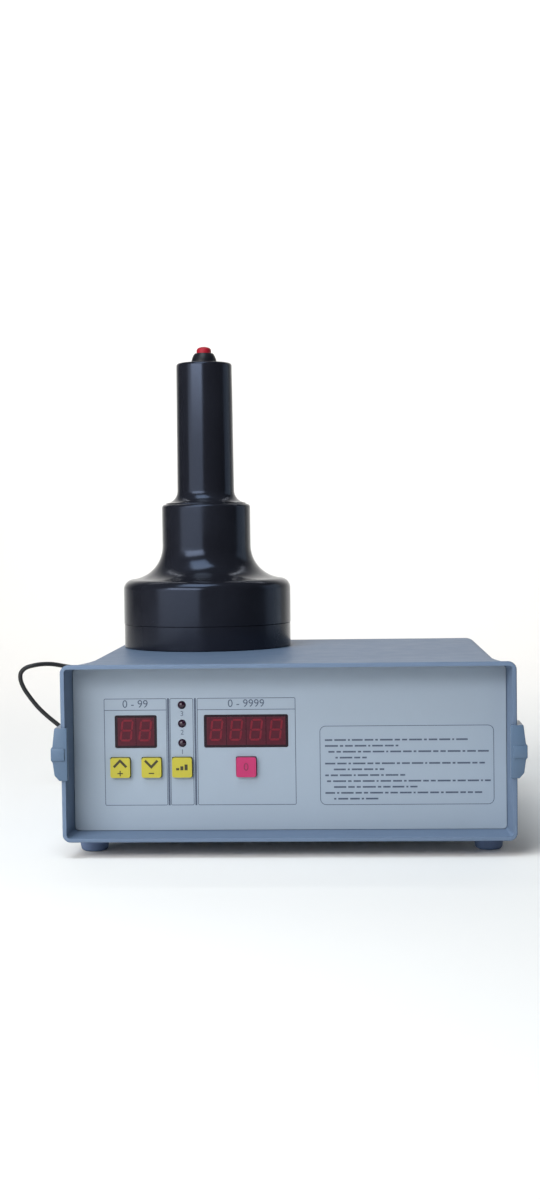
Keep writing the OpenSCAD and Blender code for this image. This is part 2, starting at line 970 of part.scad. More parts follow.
module fan_guard() {
    spoke_in = guard_radii[0] - 1.5;
    spoke_out = fan_pitch / sqrt(2) - fan_head_r - 0.4;
    color(steel)
        translate([fan_x, rear_y, z_mid])
            rotate([-90, 0, 0]) {
                for (r = guard_radii)
                    translate([0, 0, 3 * guard_wire - 0.2])
                        rotate_extrude()
                            translate([r, 0]) circle(guard_wire);
                for (a = [45 : 90 : 315])
                    rotate([0, 0, a])
                        translate([spoke_in, 0, guard_wire])
                            rotate([0, 90, 0])
                                cylinder(r = guard_wire, h = spoke_out - spoke_in);
                at_fan_corners()
                    difference() {
                        cylinder(r = guard_tab_r, h = guard_tab_t);
                        translate([0, 0, -1]) cylinder(r = fan_screw_r + hole_play, h = guard_tab_t + 2);
                    }
            }
}

module fan_screws() {
    color(steel)
        translate([fan_x, rear_y + guard_tab_t, z_mid])
            rotate([-90, 0, 0])
                at_fan_corners() {
                    cylinder(r = fan_head_r, h = fan_head_h);
                    translate([0, 0, -fan_t - panel_t - 1])
                        cylinder(r = fan_screw_r, h = fan_t + panel_t + 1.2);
                }
}

// Rear connections

// Socket mouth with its two cut corners
module inlet_mouth() {
    w = inlet_cavity.x / 2;
    h = inlet_cavity.y / 2;
    c = inlet_cut;
    polygon([[-w, -h], [w, -h], [w, h - c], [w - c, h], [c - w, h], [-w, h - c]]);
}

module pin_outlines() {
    for (p = inlet_pins)
        translate([inlet_x + p.x, inlet_z + p.y])
            square([blade_w, blade_h], center = true);
}

module mains_inlet() {
    color("black")
        difference() {
            union() {
                standing(rear_y, inlet_flange_t)
                    translate([inlet_x, inlet_z]) plate_outline(inlet_flange, inlet_flange_r);
                standing(rear_y - inlet_depth, inlet_depth)
                    translate([inlet_x, inlet_z]) square(inlet_body, center = true);
            }
            standing(rear_y - inlet_depth + inlet_back, inlet_depth + inlet_flange_t)
                translate([inlet_x, inlet_z]) inlet_mouth();
            standing(rear_y - inlet_depth - 1, inlet_back + 2)
                pin_outlines();
        }
}

module inlet_blades() {
    color(steel)
        standing(rear_y - inlet_depth - blade_tail, blade_len)
            pin_outlines();
}

module switch_frame() {
    color("black")
        difference() {
            union() {
                standing(rear_y, rocker_flange_t)
                    translate([rocker_x, rocker_z]) plate_outline(rocker_flange, rocker_flange_r);
                standing(rear_y - rocker_depth, rocker_depth)
                    translate([rocker_x, rocker_z]) square(rocker_body, center = true);
            }
            standing(rear_y - rocker_well, rocker_well + rocker_flange_t + 1)
                translate([rocker_x, rocker_z]) square(rocker_open, center = true);
            translate([rocker_x - rocker_body.x, rocker_y, rocker_z])
                rotate([0, 90, 0])
                    cylinder(r = rocker_pin_r + fit, h = 2 * rocker_body.x);
        }
}

module switch_rocker() {
    color([0.09, 0.09, 0.10])
        translate([rocker_x, rocker_y, rocker_z])
            rotate([rocker_rest, 0, 0]) {
                translate([-rocker_w / 2, 0, 0])
                    rotate([90, 0, 90])
                        linear_extrude(rocker_w)
                            polygon(rocker_outline);
                translate([-rocker_body.x / 2, 0, 0])
                    rotate([0, 90, 0])
                        cylinder(r = rocker_pin_r, h = rocker_body.x);
            }
}

module case_lead_gland() {
    color(lead_black) {
        rod(gland_x, gland_z, gland_nut_r, rear_in - gland_nut_t, rear_in);
        rod(gland_x, gland_z, gland_r, rear_in - gland_nut_t - 1, rear_y + 1);
        rod(gland_x, gland_z, gland_nut_r, rear_y, rear_y + gland_nut_t);
        translate([gland_x, rear_y + gland_nut_t, gland_z])
            rotate([-90, 0, 0])
                cylinder(r1 = gland_root_r, r2 = lead_r + gland_tip, h = gland_len - gland_nut_t);
    }
}

// Sealing head

// Point where the shoulder's arc meets the sweep's arc, on a wall t inside the outer one
function sweep_meet(t) = shoulder_c + (sweep_c - shoulder_c) * (shoulder_r - t) / (shoulder_r + sweep_r);

// Half section of the bell, t inside its outer face
module bell_outline(t) {
    square([base_r - t, head_wall_h]);
    square([shoulder_c.x, head_wall_h + shoulder_r - t]);
    translate(shoulder_c) circle(shoulder_r - t);
    difference() {
        square([sweep_meet(t).x, sweep_c.y]);
        translate(sweep_c) circle(sweep_r + t);
    }
    turned(collar_r - t, collar_top, collar_edge, collar_edge);
}

module bell_housing() {
    color(head_black)
        on_head()
            rotate_extrude()
                difference() {
                    intersection() {
                        bell_outline(0);
                        translate([0, seam_z]) square([head_dia, grip_top]);
                    }
                    intersection() {
                        bell_outline(head_wall);
                        square([head_dia, spigot_z - 3]);
                    }
                    square([base_r - head_wall / 2 + fit, seam_z + rebate_h + fit]);
                    square([spigot_r + fit, grip_top]);
                }
}

module head_base() {
    color(head_black)
        on_head()
            difference() {
                rotate_extrude()
                    difference() {
                        union() {
                            turned(base_r - 0.2, seam_z, 1, 0.3);
                            square([base_r - head_wall / 2, seam_z + rebate_h]);
                        }
                        translate([0, head_wall]) square([base_r - head_wall, head_dia]);
                    }
                rod(0, head_gland_z, head_gland_r + fit, base_r - head_wall - 2, base_r + 1);
            }
}

module handle_grip() {
    fillet_c = [grip_dia / 2 + grip_swell + grip_fillet, collar_top + grip_foot_t + grip_fillet];
    color(head_black)
        on_head()
            rotate_extrude()
                difference() {
                    union() {
                        translate([0, spigot_z]) square([spigot_r, collar_top - spigot_z]);
                        difference() {
                            translate([0, collar_top]) square([grip_foot_r, grip_foot_t + grip_fillet]);
                            translate(fillet_c) circle(grip_fillet);
                        }
                        polygon([
                            [0, fillet_c.y], [grip_dia / 2 + grip_swell, fillet_c.y],
                            [grip_dia / 2, grip_top - grip_edge], [0, grip_top - grip_edge]
                        ]);
                        translate([0, grip_top - grip_edge]) square([grip_dia / 2 - grip_edge, grip_edge]);
                        translate([grip_dia / 2 - grip_edge, grip_top - grip_edge]) circle(grip_edge);
                    }
                    translate([0, spigot_z - 1]) square([grip_bore, grip_top - grip_end_t - spigot_z + 1]);
                    square([bushing_r + fit, 2 * grip_top]);
                }
}

module coil_winding() {
    color("peru")
        on_head()
            rotate_extrude()
                intersection() {
                    for (r = [turn_first : turn_pitch : turn_last])
                        translate([r, head_wall + turn_low]) circle(turn_r);
                    translate([0, head_wall]) square([base_r, turn_low + turn_high]);
                }
}

module ferrite_bars() {
    color([0.22, 0.22, 0.24])
        on_head()
            for (i = [0 : ferrite_count - 1])
                rotate([0, 0, 30 + 360 * i / ferrite_count])
                    translate([turn_first - 1, -ferrite_bar.y / 2, head_wall + turn_low + turn_high])
                        cube(ferrite_bar);
}

// Trigger in the end of the grip

module on_grip() {
    translate([head_x, head_y, lid_z + grip_top])
        children();
}

bushing_low = -grip_end_t - switch_wall;
retainer_top = bushing_low - 0.3;
retainer_low = retainer_top - 2;
switch_low = -grip_end_t - switch_len;

module trigger_switch() {
    color("dimgray")
        on_grip()
            rotate_extrude()
                difference() {
                    union() {
                        translate([0, switch_low]) square([switch_r, switch_len]);
                        translate([0, -grip_end_t]) square([bushing_r, grip_end_t + bushing_top]);
                    }
                    translate([0, switch_low + switch_wall])
                        square([switch_r - switch_wall, switch_len - 2 * switch_wall]);
                    translate([0, bushing_low - 1])
                        square([stem_bore, grip_end_t + switch_wall + bushing_top + 2]);
                }
}

module trigger_collar() {
    color(lead_black)
        on_grip()
            rotate_extrude()
                difference() {
                    intersection() {
                        square([ogive_base, collar_h]);
                        translate([ogive_base - ogive_r, -ogive_drop]) circle(ogive_r, $fn = 2 * $fn);
                    }
                    square([bushing_r + fit, bushing_top + 0.2]);
                    square([button_r + button_gap, collar_h + 1]);
                }
}

// Half section of the button, its edge rounded into a shallow dome
module button_outline() {
    edge_x = button_r - button_edge;
    dome_z = button_top - button_dome;
    edge_z = dome_z + sqrt(pow(button_dome - button_edge, 2) - pow(edge_x, 2));
    translate([0, button_low]) square([button_r, edge_z - button_low]);
    translate([edge_x, edge_z]) circle(button_edge);
    intersection() {
        translate([0, button_low]) square([edge_x * button_dome / (button_dome - button_edge), button_top]);
        translate([0, dome_z]) circle(button_dome, $fn = 2 * $fn);
    }
}

module trigger_button() {
    color([0.66, 0.12, 0.20])
        on_grip()
            rotate_extrude() {
                button_outline();
                translate([0, retainer_low]) square([plunger_r, button_low - retainer_low + 0.5]);
                translate([0, retainer_low]) square([retainer_r, retainer_top - retainer_low]);
            }
}

module trigger_spring() {
    low = switch_low + switch_wall + spring_wire;
    high = retainer_low - spring_wire;
    steps = 10 * spring_turns;
    coil = [
        for (i = [0 : steps])
            let (a = 360 * spring_turns * i / steps)
                [spring_r * cos(a), spring_r * sin(a), low + (high - low) * i / steps]
    ];
    color(steel)
        on_grip()
            tube(coil, spring_wire, 6);
}

// Lead from the head to the case

module head_lead_gland() {
    color(lead_black)
        translate([head_x, head_y + base_r, lid_z + head_gland_z]) {
            rod(0, 0, head_gland_r, -head_wall - 2, 1);
            rod(0, 0, head_flange_r, 0, head_flange_t);
            translate([0, head_flange_t, 0])
                rotate([-90, 0, 0])
                    cylinder(r1 = head_root_r, r2 = lead_r + gland_tip, h = head_gland_len - head_flange_t);
        }
}

module lead_loop() {
    color(lead_black)
        tube(smooth(loop_route, lead_steps), lead_r, lead_sides);
}

module lead_riser() {
    color(lead_black)
        tube(smooth(riser_route, lead_steps), lead_r, lead_sides);
}

// Closed outer shape of the coiled turns, two beside each other and three high
module lead_coil() {
    color(lead_black)
        translate([coil_c.x, coil_c.y, coil_lift])
            rotate_extrude()
                translate([coil_mean - lead_dia, 0])
                    square([2 * lead_dia, 3 * lead_dia]);
}

module lead_tie() {
    width = 2 * lead_dia;
    height = 3 * lead_dia;
    color(steel)
        translate([coil_c.x + coil_mean, coil_c.y, coil_lift + height / 2])
            difference() {
                cube([width + 2 * tie_t, tie_w, height + 2 * tie_t], center = true);
                cube([width, 2 * tie_w, height], center = true);
            }
}

upper_shell();
lower_shell();
front_panel();
rear_panel();
left_front_clip();
right_front_clip();
left_rear_clip();
right_rear_clip();
front_left_foot();
front_right_foot();
rear_left_foot();
rear_right_foot();
foot_screws();
time_window();
count_window();
time_display();
count_display();
high_lamp();
middle_lamp();
low_lamp();
increase_key();
decrease_key();
level_key();
reset_key();
key_switches();
control_board();
board_spacers();
board_screws();
power_board();
power_board_screws();
heat_sink();
power_transistors();
transformer_core();
transformer_winding();
filter_capacitors();
resonant_capacitors();
fan_frame();
fan_rotor();
fan_guard();
fan_screws();
mains_inlet();
inlet_blades();
switch_frame();
switch_rocker();
case_lead_gland();
head_base();
bell_housing();
handle_grip();
coil_winding();
ferrite_bars();
trigger_switch();
trigger_collar();
trigger_button();
trigger_spring();
head_lead_gland();
lead_loop();
lead_coil();
lead_riser();
lead_tie();
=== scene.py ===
"""Dresses a bench induction cap sealer: a moulded case with a key panel, and a hand-held head on its lid."""

import logging
import math
from dataclasses import dataclass, field
from enum import Enum
from typing import Any, Mapping, Sequence

import bmesh
import bpy
from mathutils import Matrix, Vector


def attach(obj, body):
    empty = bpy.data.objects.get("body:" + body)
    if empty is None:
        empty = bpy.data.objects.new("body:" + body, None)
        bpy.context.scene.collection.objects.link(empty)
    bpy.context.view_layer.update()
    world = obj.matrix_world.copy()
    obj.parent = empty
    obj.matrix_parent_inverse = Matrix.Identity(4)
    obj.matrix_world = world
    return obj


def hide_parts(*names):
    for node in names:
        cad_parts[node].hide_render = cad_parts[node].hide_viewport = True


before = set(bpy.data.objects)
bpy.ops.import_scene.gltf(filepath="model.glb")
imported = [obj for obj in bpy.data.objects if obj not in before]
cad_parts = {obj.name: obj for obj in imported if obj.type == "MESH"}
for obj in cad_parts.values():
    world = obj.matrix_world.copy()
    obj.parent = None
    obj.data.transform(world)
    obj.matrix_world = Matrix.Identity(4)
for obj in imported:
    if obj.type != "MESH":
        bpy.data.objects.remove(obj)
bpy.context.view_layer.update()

LOG = logging.getLogger("sealer")
MM = 0.001
BODY = "sealer"
MEAN_NOISE = 0.5
ON_AXIS_MM = 1e-6
WELD_M = 1e-7
LOFT_WELD_M = 1e-6
Point2 = tuple[float, float]
Point3 = tuple[float, float, float]
Colour = tuple[float, float, float, float]


def srgb(red: int, green: int, blue: int) -> Colour:
    """Turns an 8-bit screen colour into the linear colour that shaders take.

    Args:
        red: Red from 0 to 255.
        green: Green from 0 to 255.
        blue: Blue from 0 to 255.

    Returns:
        The linear colour with full alpha.
    """
    def linear(level: int) -> float:
        """One channel."""
        share = level / 255
        return share / 12.92 if share <= 0.04045 else ((share + 0.055) / 1.055) ** 2.4

    return (linear(red), linear(green), linear(blue), 1.0)


class Value:
    """A socket of a node tree that takes part in Python expressions."""

    def __init__(self, shader: "Shader", socket: bpy.types.NodeSocket) -> None:
        """Keeps the socket and the shader that it belongs to."""
        self.shader = shader
        self.socket = socket

    def maths(self, operation: str, first: "Value | float", second: "Value | float") -> "Value":
        """Adds one Math node.

        Args:
            operation: Name of the operation.
            first: First operand.
            second: Second operand.

        Returns:
            The node's result.
        """
        return self.shader.node("ShaderNodeMath", {"operation": operation}, {0: first, 1: second})

    def __add__(self, other: "Value | float") -> "Value":
        """Sum."""
        return self.maths("ADD", self, other)

    def __radd__(self, other: float) -> "Value":
        """Sum with a number on the left."""
        return self.maths("ADD", other, self)

    def __sub__(self, other: "Value | float") -> "Value":
        """Difference."""
        return self.maths("SUBTRACT", self, other)

    def __rsub__(self, other: float) -> "Value":
        """Difference with a number on the left."""
        return self.maths("SUBTRACT", other, self)

    def __mul__(self, other: "Value | float") -> "Value":
        """Product."""
        return self.maths("MULTIPLY", self, other)

    def __rmul__(self, other: float) -> "Value":
        """Product with a number on the left."""
        return self.maths("MULTIPLY", other, self)

    def between(self, low: float, high: float) -> "Value":
        """Share of the way from low to high, held to the range from 0 to 1.

        Args:
            low: Value that becomes 0.
            high: Value that becomes 1.

        Returns:
            The share.
        """
        sockets = {0: self, 1: low, 2: high, 3: 0.0, 4: 1.0}
        return self.shader.node("ShaderNodeMapRange", {"clamp": True}, sockets)


class Shader:
    """Node tree of one material, with its principled shader."""

    def __init__(self, name: str) -> None:
        """Makes the material with a principled shader and an output."""
        self.material = bpy.data.materials.new(name)
        self.material.use_nodes = True
        self.tree = self.material.node_tree
        self.tree.nodes.clear()
        self.principled = self.tree.nodes.new("ShaderNodeBsdfPrincipled")
        output = self.tree.nodes.new("ShaderNodeOutputMaterial")
        self.tree.links.new(self.principled.outputs[0], output.inputs[0])

    def feed(self, socket: bpy.types.NodeSocket, value: Any) -> None:
        """Links a value to a socket, or sets the socket to a constant.

        Args:
            socket: Input to feed.
            value: A Value to link, or a constant.
        """
        if isinstance(value, Value):
            self.tree.links.new(value.socket, socket)
        else:
            socket.default_value = value

    def node(
        self,
        kind: str,
        settings: Mapping[str, Any] | None = None,
        sockets: Mapping[int | str, Any] | None = None,
        output: int | str = 0,
    ) -> Value:
        """Adds a node.

        Args:
            kind: Type of the node.
            settings: Properties, set before the sockets.
            sockets: Values or links of the inputs.
            output: Output to return.

        Returns:
            The chosen output.
        """
        made = self.tree.nodes.new(kind)
        for key, value in (settings or {}).items():
            setattr(made, key, value)
        for key, value in (sockets or {}).items():
            self.feed(made.inputs[key], value)
        return Value(self, made.outputs[output])

    def place(self, stretch: Point3 = (1, 1, 1)) -> Value:
        """Place on the object in metres, stretched along each axis."""
        spot = self.node("ShaderNodeTexCoord", output="Object")
        return self.node("ShaderNodeVectorMath", {"operation": "MULTIPLY"}, {0: spot, 1: stretch})

    def noise(self, size: float, detail: float = 3.0, stretch: Point3 = (1, 1, 1)) -> Value:
        """Cloudy noise.

        Args:
            size: Size of its features in metres.
            detail: Octaves of finer detail.
            stretch: Scale of each axis.

        Returns:
            The noise, about one half on average.
        """
        sockets = {"Vector": self.place(stretch), "Scale": 1 / size, "Detail": detail}
        return self.node("ShaderNodeTexNoise", sockets=sockets, output="Fac")

    def mix(self, share: "Value | float", first: Any, second: Any) -> Value:
        """Blends two colours.

        Args:
            share: Share of the second colour.
            first: First colour.
            second: Second colour.

        Returns:
            The blended colour.
        """
        return self.node("ShaderNodeMix", {"data_type": "RGBA"}, {0: share, 6: first, 7: second}, output=2)

    def bump(self, height: Value, depth: float, strength: float = 1.0) -> Value:
        """Normal of a surface with fine relief.

        Args:
            height: Relief from 0 to 1.
            depth: Depth of the relief in metres.
            strength: Share of the relief that shows.

        Returns:
            The normal.
        """
        sockets = {"Strength": strength, "Distance": depth, "Height": height}
        return self.node("ShaderNodeBump", sockets=sockets)

    def surface(self, **sockets: Any) -> bpy.types.Material:
        """Feeds the principled shader.

        Args:
            **sockets: Input names, with underscores for spaces.

        Returns:
            The finished material.
        """
        for key, value in sockets.items():
            self.feed(self.principled.inputs[key.replace("_", " ")], value)
        return self.material


def shade(colour: Colour, factor: float) -> Colour:
    """A lighter or darker colour of the same hue."""
    return (*(min(1.0, channel * factor) for channel in colour[:3]), 1.0)


@dataclass(frozen=True)
class Finish:
    """Base of every finish: a name and how to make its material."""

    name: str

    def material(self) -> bpy.types.Material:
        """The finish's material, made once."""
        return bpy.data.materials.get(self.name) or self.make(Shader(self.name))

    def make(self, shader: Shader) -> bpy.types.Material:
        """Builds the material's nodes."""
        raise NotImplementedError


@dataclass(frozen=True)
class Moulding(Finish):
    """Moulded plastic with a fine spark texture, faint flow clouds, and edges lightened partly by wear and
    partly as a painted highlight.
    """

    tint: Colour
    roughness: float = 0.46
    grain: float = 0.00055
    relief: float = 0.00002
    cloud: float = 0.05
    wear_and_edge_highlight: float = 0.0
    specular: float = 0.4
    cloud_size: float = 0.06
    grain_share: float = 0.12
    grain_tone: float = 0.8
    patch_size: float = 0.012
    patch_span: float = 0.12
    worn_highlight_range: Point2 = (0.515, 0.60)
    worn_highlight_tone: float = 1.4
    worn_polish: float = 0.1

    def make(self, shader: Shader) -> bpy.types.Material:
        """Clouds tint the colour, the spark texture gives the bump, and edges are a little polished and
        lightened: partly wear, partly a painted highlight where rounded edges catch the light.
        """
        clouds = shader.noise(self.cloud_size, detail=4)
        fine = shader.noise(self.grain, detail=2)
        colour = shader.mix(clouds, shade(self.tint, 1 - self.cloud), shade(self.tint, 1 + self.cloud))
        colour = shader.mix(fine * self.grain_share, colour, shade(self.tint, self.grain_tone))
        rough = self.roughness + (shader.noise(self.patch_size, detail=3) - MEAN_NOISE) * self.patch_span
        if self.wear_and_edge_highlight:
            # Lighter pointed edges: partly worn plastic, partly a painted highlight of rounded edges
            # catching the light.
            edge = shader.node("ShaderNodeNewGeometry", output="Pointiness").between(*self.worn_highlight_range)
            colour = shader.mix(edge * self.wear_and_edge_highlight, colour, shade(self.tint, self.worn_highlight_tone))
            rough = rough - edge * self.worn_polish
        return shader.surface(
            Base_Color=colour,
            Roughness=rough,
            Normal=shader.bump(fine, self.relief),
            Specular_IOR_Level=self.specular,
        )


@dataclass(frozen=True)
class Gloss(Finish):
    """Glossy moulded plastic with handling smudges, faint turning ripple and a painted tint on its
    reflections.
    """

    tint: Colour
    roughness: float = 0.2
    smudge: float = 0.16
    specular: float = 0.5
    coat: float = 0.15
    coat_roughness: float = 0.08
    # Tint of the reflections: a painted bluish reflection colour standing in for a bluish surround.
    painted_reflection_tint: Colour = (1.0, 1.0, 1.0, 1.0)
    smudge_size: float = 0.035
    smudge_range: Point2 = (0.42, 0.72)
    smudge_share: float = 0.5
    smudge_tone: float = 1.35
    speck_size: float = 0.0012
    speck_span: float = 0.05
    ripple_size: float = 0.009
    ripple_stretch: Point3 = (1, 1, 0.35)
    ripple_depth: float = 0.000048
    ripple_strength: float = 0.6

    def make(self, shader: Shader) -> bpy.types.Material:
        """Smudges dull the gloss in patches and a slow ripple breaks its highlights."""
        smudges = shader.noise(self.smudge_size, detail=5).between(*self.smudge_range)
        specks = shader.noise(self.speck_size, detail=3)
        colour = shader.mix(smudges * self.smudge_share, self.tint, shade(self.tint, self.smudge_tone))
        rough = self.roughness + smudges * self.smudge + (specks - MEAN_NOISE) * self.speck_span
        ripple = shader.noise(self.ripple_size, detail=2, stretch=self.ripple_stretch)
        return shader.surface(
            Base_Color=colour,
            Roughness=rough,
            Normal=shader.bump(ripple, self.ripple_depth, self.ripple_strength),
            Specular_IOR_Level=self.specular,
            Specular_Tint=self.painted_reflection_tint,
            Coat_Weight=self.coat,
            Coat_Roughness=self.coat_roughness,
        )


@dataclass(frozen=True)
class Elastomer(Finish):
    """Matt rubber or soft sheath with a fine bloom."""

    tint: Colour
    roughness: float = 0.62
    bloom: float = 0.25
    bloom_size: float = 0.008
    bloom_range: Point2 = (0.45, 0.75)
    bloom_tone: float = 1.9
    bloom_rough: float = 0.15
    pebble_size: float = 0.0004
    pebble_depth: float = 0.00003

    def make(self, shader: Shader) -> bpy.types.Material:
        """A pale bloom lies over a fine pebbled surface."""
        pebbles = shader.noise(self.pebble_size, detail=3)
        bloom = shader.noise(self.bloom_size, detail=4).between(*self.bloom_range)
        colour = shader.mix(bloom * self.bloom, self.tint, shade(self.tint, self.bloom_tone))
        rough = self.roughness + bloom * self.bloom_rough
        relief = shader.bump(pebbles, self.pebble_depth)
        return shader.surface(Base_Color=colour, Roughness=rough, Normal=relief)


@dataclass(frozen=True)
class Metal(Finish):
    """Plated, extruded or sintered metal with a drawn grain."""

    tint: Colour = srgb(186, 190, 196)
    roughness: float = 0.32
    drawn: Point3 = (1, 0.06, 1)
    metallic: float = 1.0
    grain_size: float = 0.0006
    grain_span: float = 0.25
    grain_depth: float = 0.000008
    tarnish_size: float = 0.015
    tarnish_tone: float = 0.86

    def make(self, shader: Shader) -> bpy.types.Material:
        """The grain runs along one axis and tarnish varies the tint."""
        grain = shader.noise(self.grain_size, detail=2, stretch=self.drawn)
        tarnish = shader.noise(self.tarnish_size, detail=4)
        return shader.surface(
            Base_Color=shader.mix(tarnish, shade(self.tint, self.tarnish_tone), self.tint),
            Roughness=self.roughness + (grain - MEAN_NOISE) * self.grain_span,
            Metallic=self.metallic,
            Normal=shader.bump(grain, self.grain_depth),
        )


@dataclass(frozen=True)
class DisplayFilter(Finish):
    """Dark red filter sheet over the display modules."""

    tint: Colour = srgb(34, 12, 24)
    streak: Colour = srgb(22, 10, 22)
    streak_size: float = 0.004
    streak_stretch: Point3 = (1, 1, 0.2)
    roughness: float = 0.26
    specular: float = 0.25
    dust_size: float = 0.0009
    dust_range: Point2 = (0.62, 0.8)
    dust_rough: float = 0.3

    def make(self, shader: Shader) -> bpy.types.Material:
        """Streaks in the sheet and a faint haze of dust."""
        streaks = shader.noise(self.streak_size, detail=3, stretch=self.streak_stretch)
        dust = shader.noise(self.dust_size, detail=4).between(*self.dust_range)
        return shader.surface(
            Base_Color=shader.mix(streaks, self.streak, self.tint),
            Roughness=self.roughness + dust * self.dust_rough,
            Specular_IOR_Level=self.specular,
        )


@dataclass(frozen=True)
class Ink(Finish):
    """Screen print with slightly broken coverage."""

    tint: Colour = srgb(58, 72, 92)
    ground: Colour = srgb(116, 130, 146)
    roughness: float = 0.5
    pinhole_size: float = 0.0007
    pinhole_range: Point2 = (0.56, 0.78)
    pinhole_share: float = 0.55
    pinhole_rough: float = 0.1

    def make(self, shader: Shader) -> bpy.types.Material:
        """Pinholes in the ink let the colour of the ground through."""
        pinholes = shader.noise(self.pinhole_size, detail=4).between(*self.pinhole_range)
        return shader.surface(
            Base_Color=shader.mix(pinholes * self.pinhole_share, self.tint, self.ground),
            Roughness=self.roughness + pinholes * self.pinhole_rough,
        )


@dataclass(frozen=True)
class Lens(Finish):
    """Coloured lamp or segment of a display, unlit."""

    tint: Colour = srgb(50, 21, 42)
    core: Colour = srgb(26, 11, 24)
    roughness: float = 0.18
    specular: float = 0.5
    cast_size: float = 0.0022
    speck_size: float = 0.0006
    speck_span: float = 0.06

    def make(self, shader: Shader) -> bpy.types.Material:
        """Cloudy cast resin with a darker core."""
        cast = shader.noise(self.cast_size, detail=3)
        specks = shader.noise(self.speck_size, detail=2)
        return shader.surface(
            Base_Color=shader.mix(cast, self.core, self.tint),
            Roughness=self.roughness + (specks - MEAN_NOISE) * self.speck_span,
            Specular_IOR_Level=self.specular,
        )


@dataclass(frozen=True)
class Laminate(Finish):
    """Circuit board with its conductors under the solder mask."""

    mask: Colour = srgb(24, 92, 52)
    copper: Colour = srgb(52, 128, 74)
    roughness: float = 0.34
    patch_size: float = 0.01
    patch_span: float = 0.15
    track_scale: float = 90.0
    track_width: float = 0.018
    track_offset: float = 0.37
    track_squash: float = 0.7
    track_depth: float = 0.00004

    def make(self, shader: Shader) -> bpy.types.Material:
        """Conductors as brick joints seen through the mask."""
        settings = {"offset": self.track_offset, "squash": self.track_squash}
        sockets = {"Vector": shader.place(), "Scale": self.track_scale, "Mortar Size": self.track_width}
        tracks = shader.node("ShaderNodeTexBrick", settings, sockets, "Fac")
        return shader.surface(
            Base_Color=shader.mix(tracks, self.mask, self.copper),
            Roughness=self.roughness + shader.noise(self.patch_size) * self.patch_span,
            Normal=shader.bump(tracks, self.track_depth),
        )


@dataclass(frozen=True)
class WoundWire(Finish):
    """Enamelled copper wire laid side by side."""

    tint: Colour = srgb(176, 98, 48)
    pitch: float = 0.0011
    bands_per_unit: float = 0.314
    waver: float = 0.4
    gap_tone: float = 0.35
    roughness: float = 0.3
    gap_rough: float = 0.2
    metallic: float = 0.7
    turn_depth: float = 0.0003

    def make(self, shader: Shader) -> bpy.types.Material:
        """Bands of wire with dark gaps between the turns."""
        settings = {"bands_direction": "Z"}
        scale = self.bands_per_unit / self.pitch
        sockets = {"Vector": shader.place(), "Scale": scale, "Distortion": self.waver}
        turns = shader.node("ShaderNodeTexWave", settings, sockets, "Fac")
        return shader.surface(
            Base_Color=shader.mix(turns, shade(self.tint, self.gap_tone), self.tint),
            Roughness=self.roughness + (1 - turns) * self.gap_rough,
            Metallic=self.metallic,
            Normal=shader.bump(turns, self.turn_depth),
        )


@dataclass(frozen=True)
class Paper(Finish):
    """Plain pale floor with the least of clouding."""

    tint: Colour = srgb(241, 238, 234)
    roughness: float = 0.9
    cloud_size: float = 0.4
    cloud_tone: float = 0.98

    def make(self, shader: Shader) -> bpy.types.Material:
        """Faint clouds in a matt sheet."""
        clouds = shader.noise(self.cloud_size, detail=2)
        colour = shader.mix(clouds, shade(self.tint, self.cloud_tone), self.tint)
        return shader.surface(Base_Color=colour, Roughness=self.roughness)


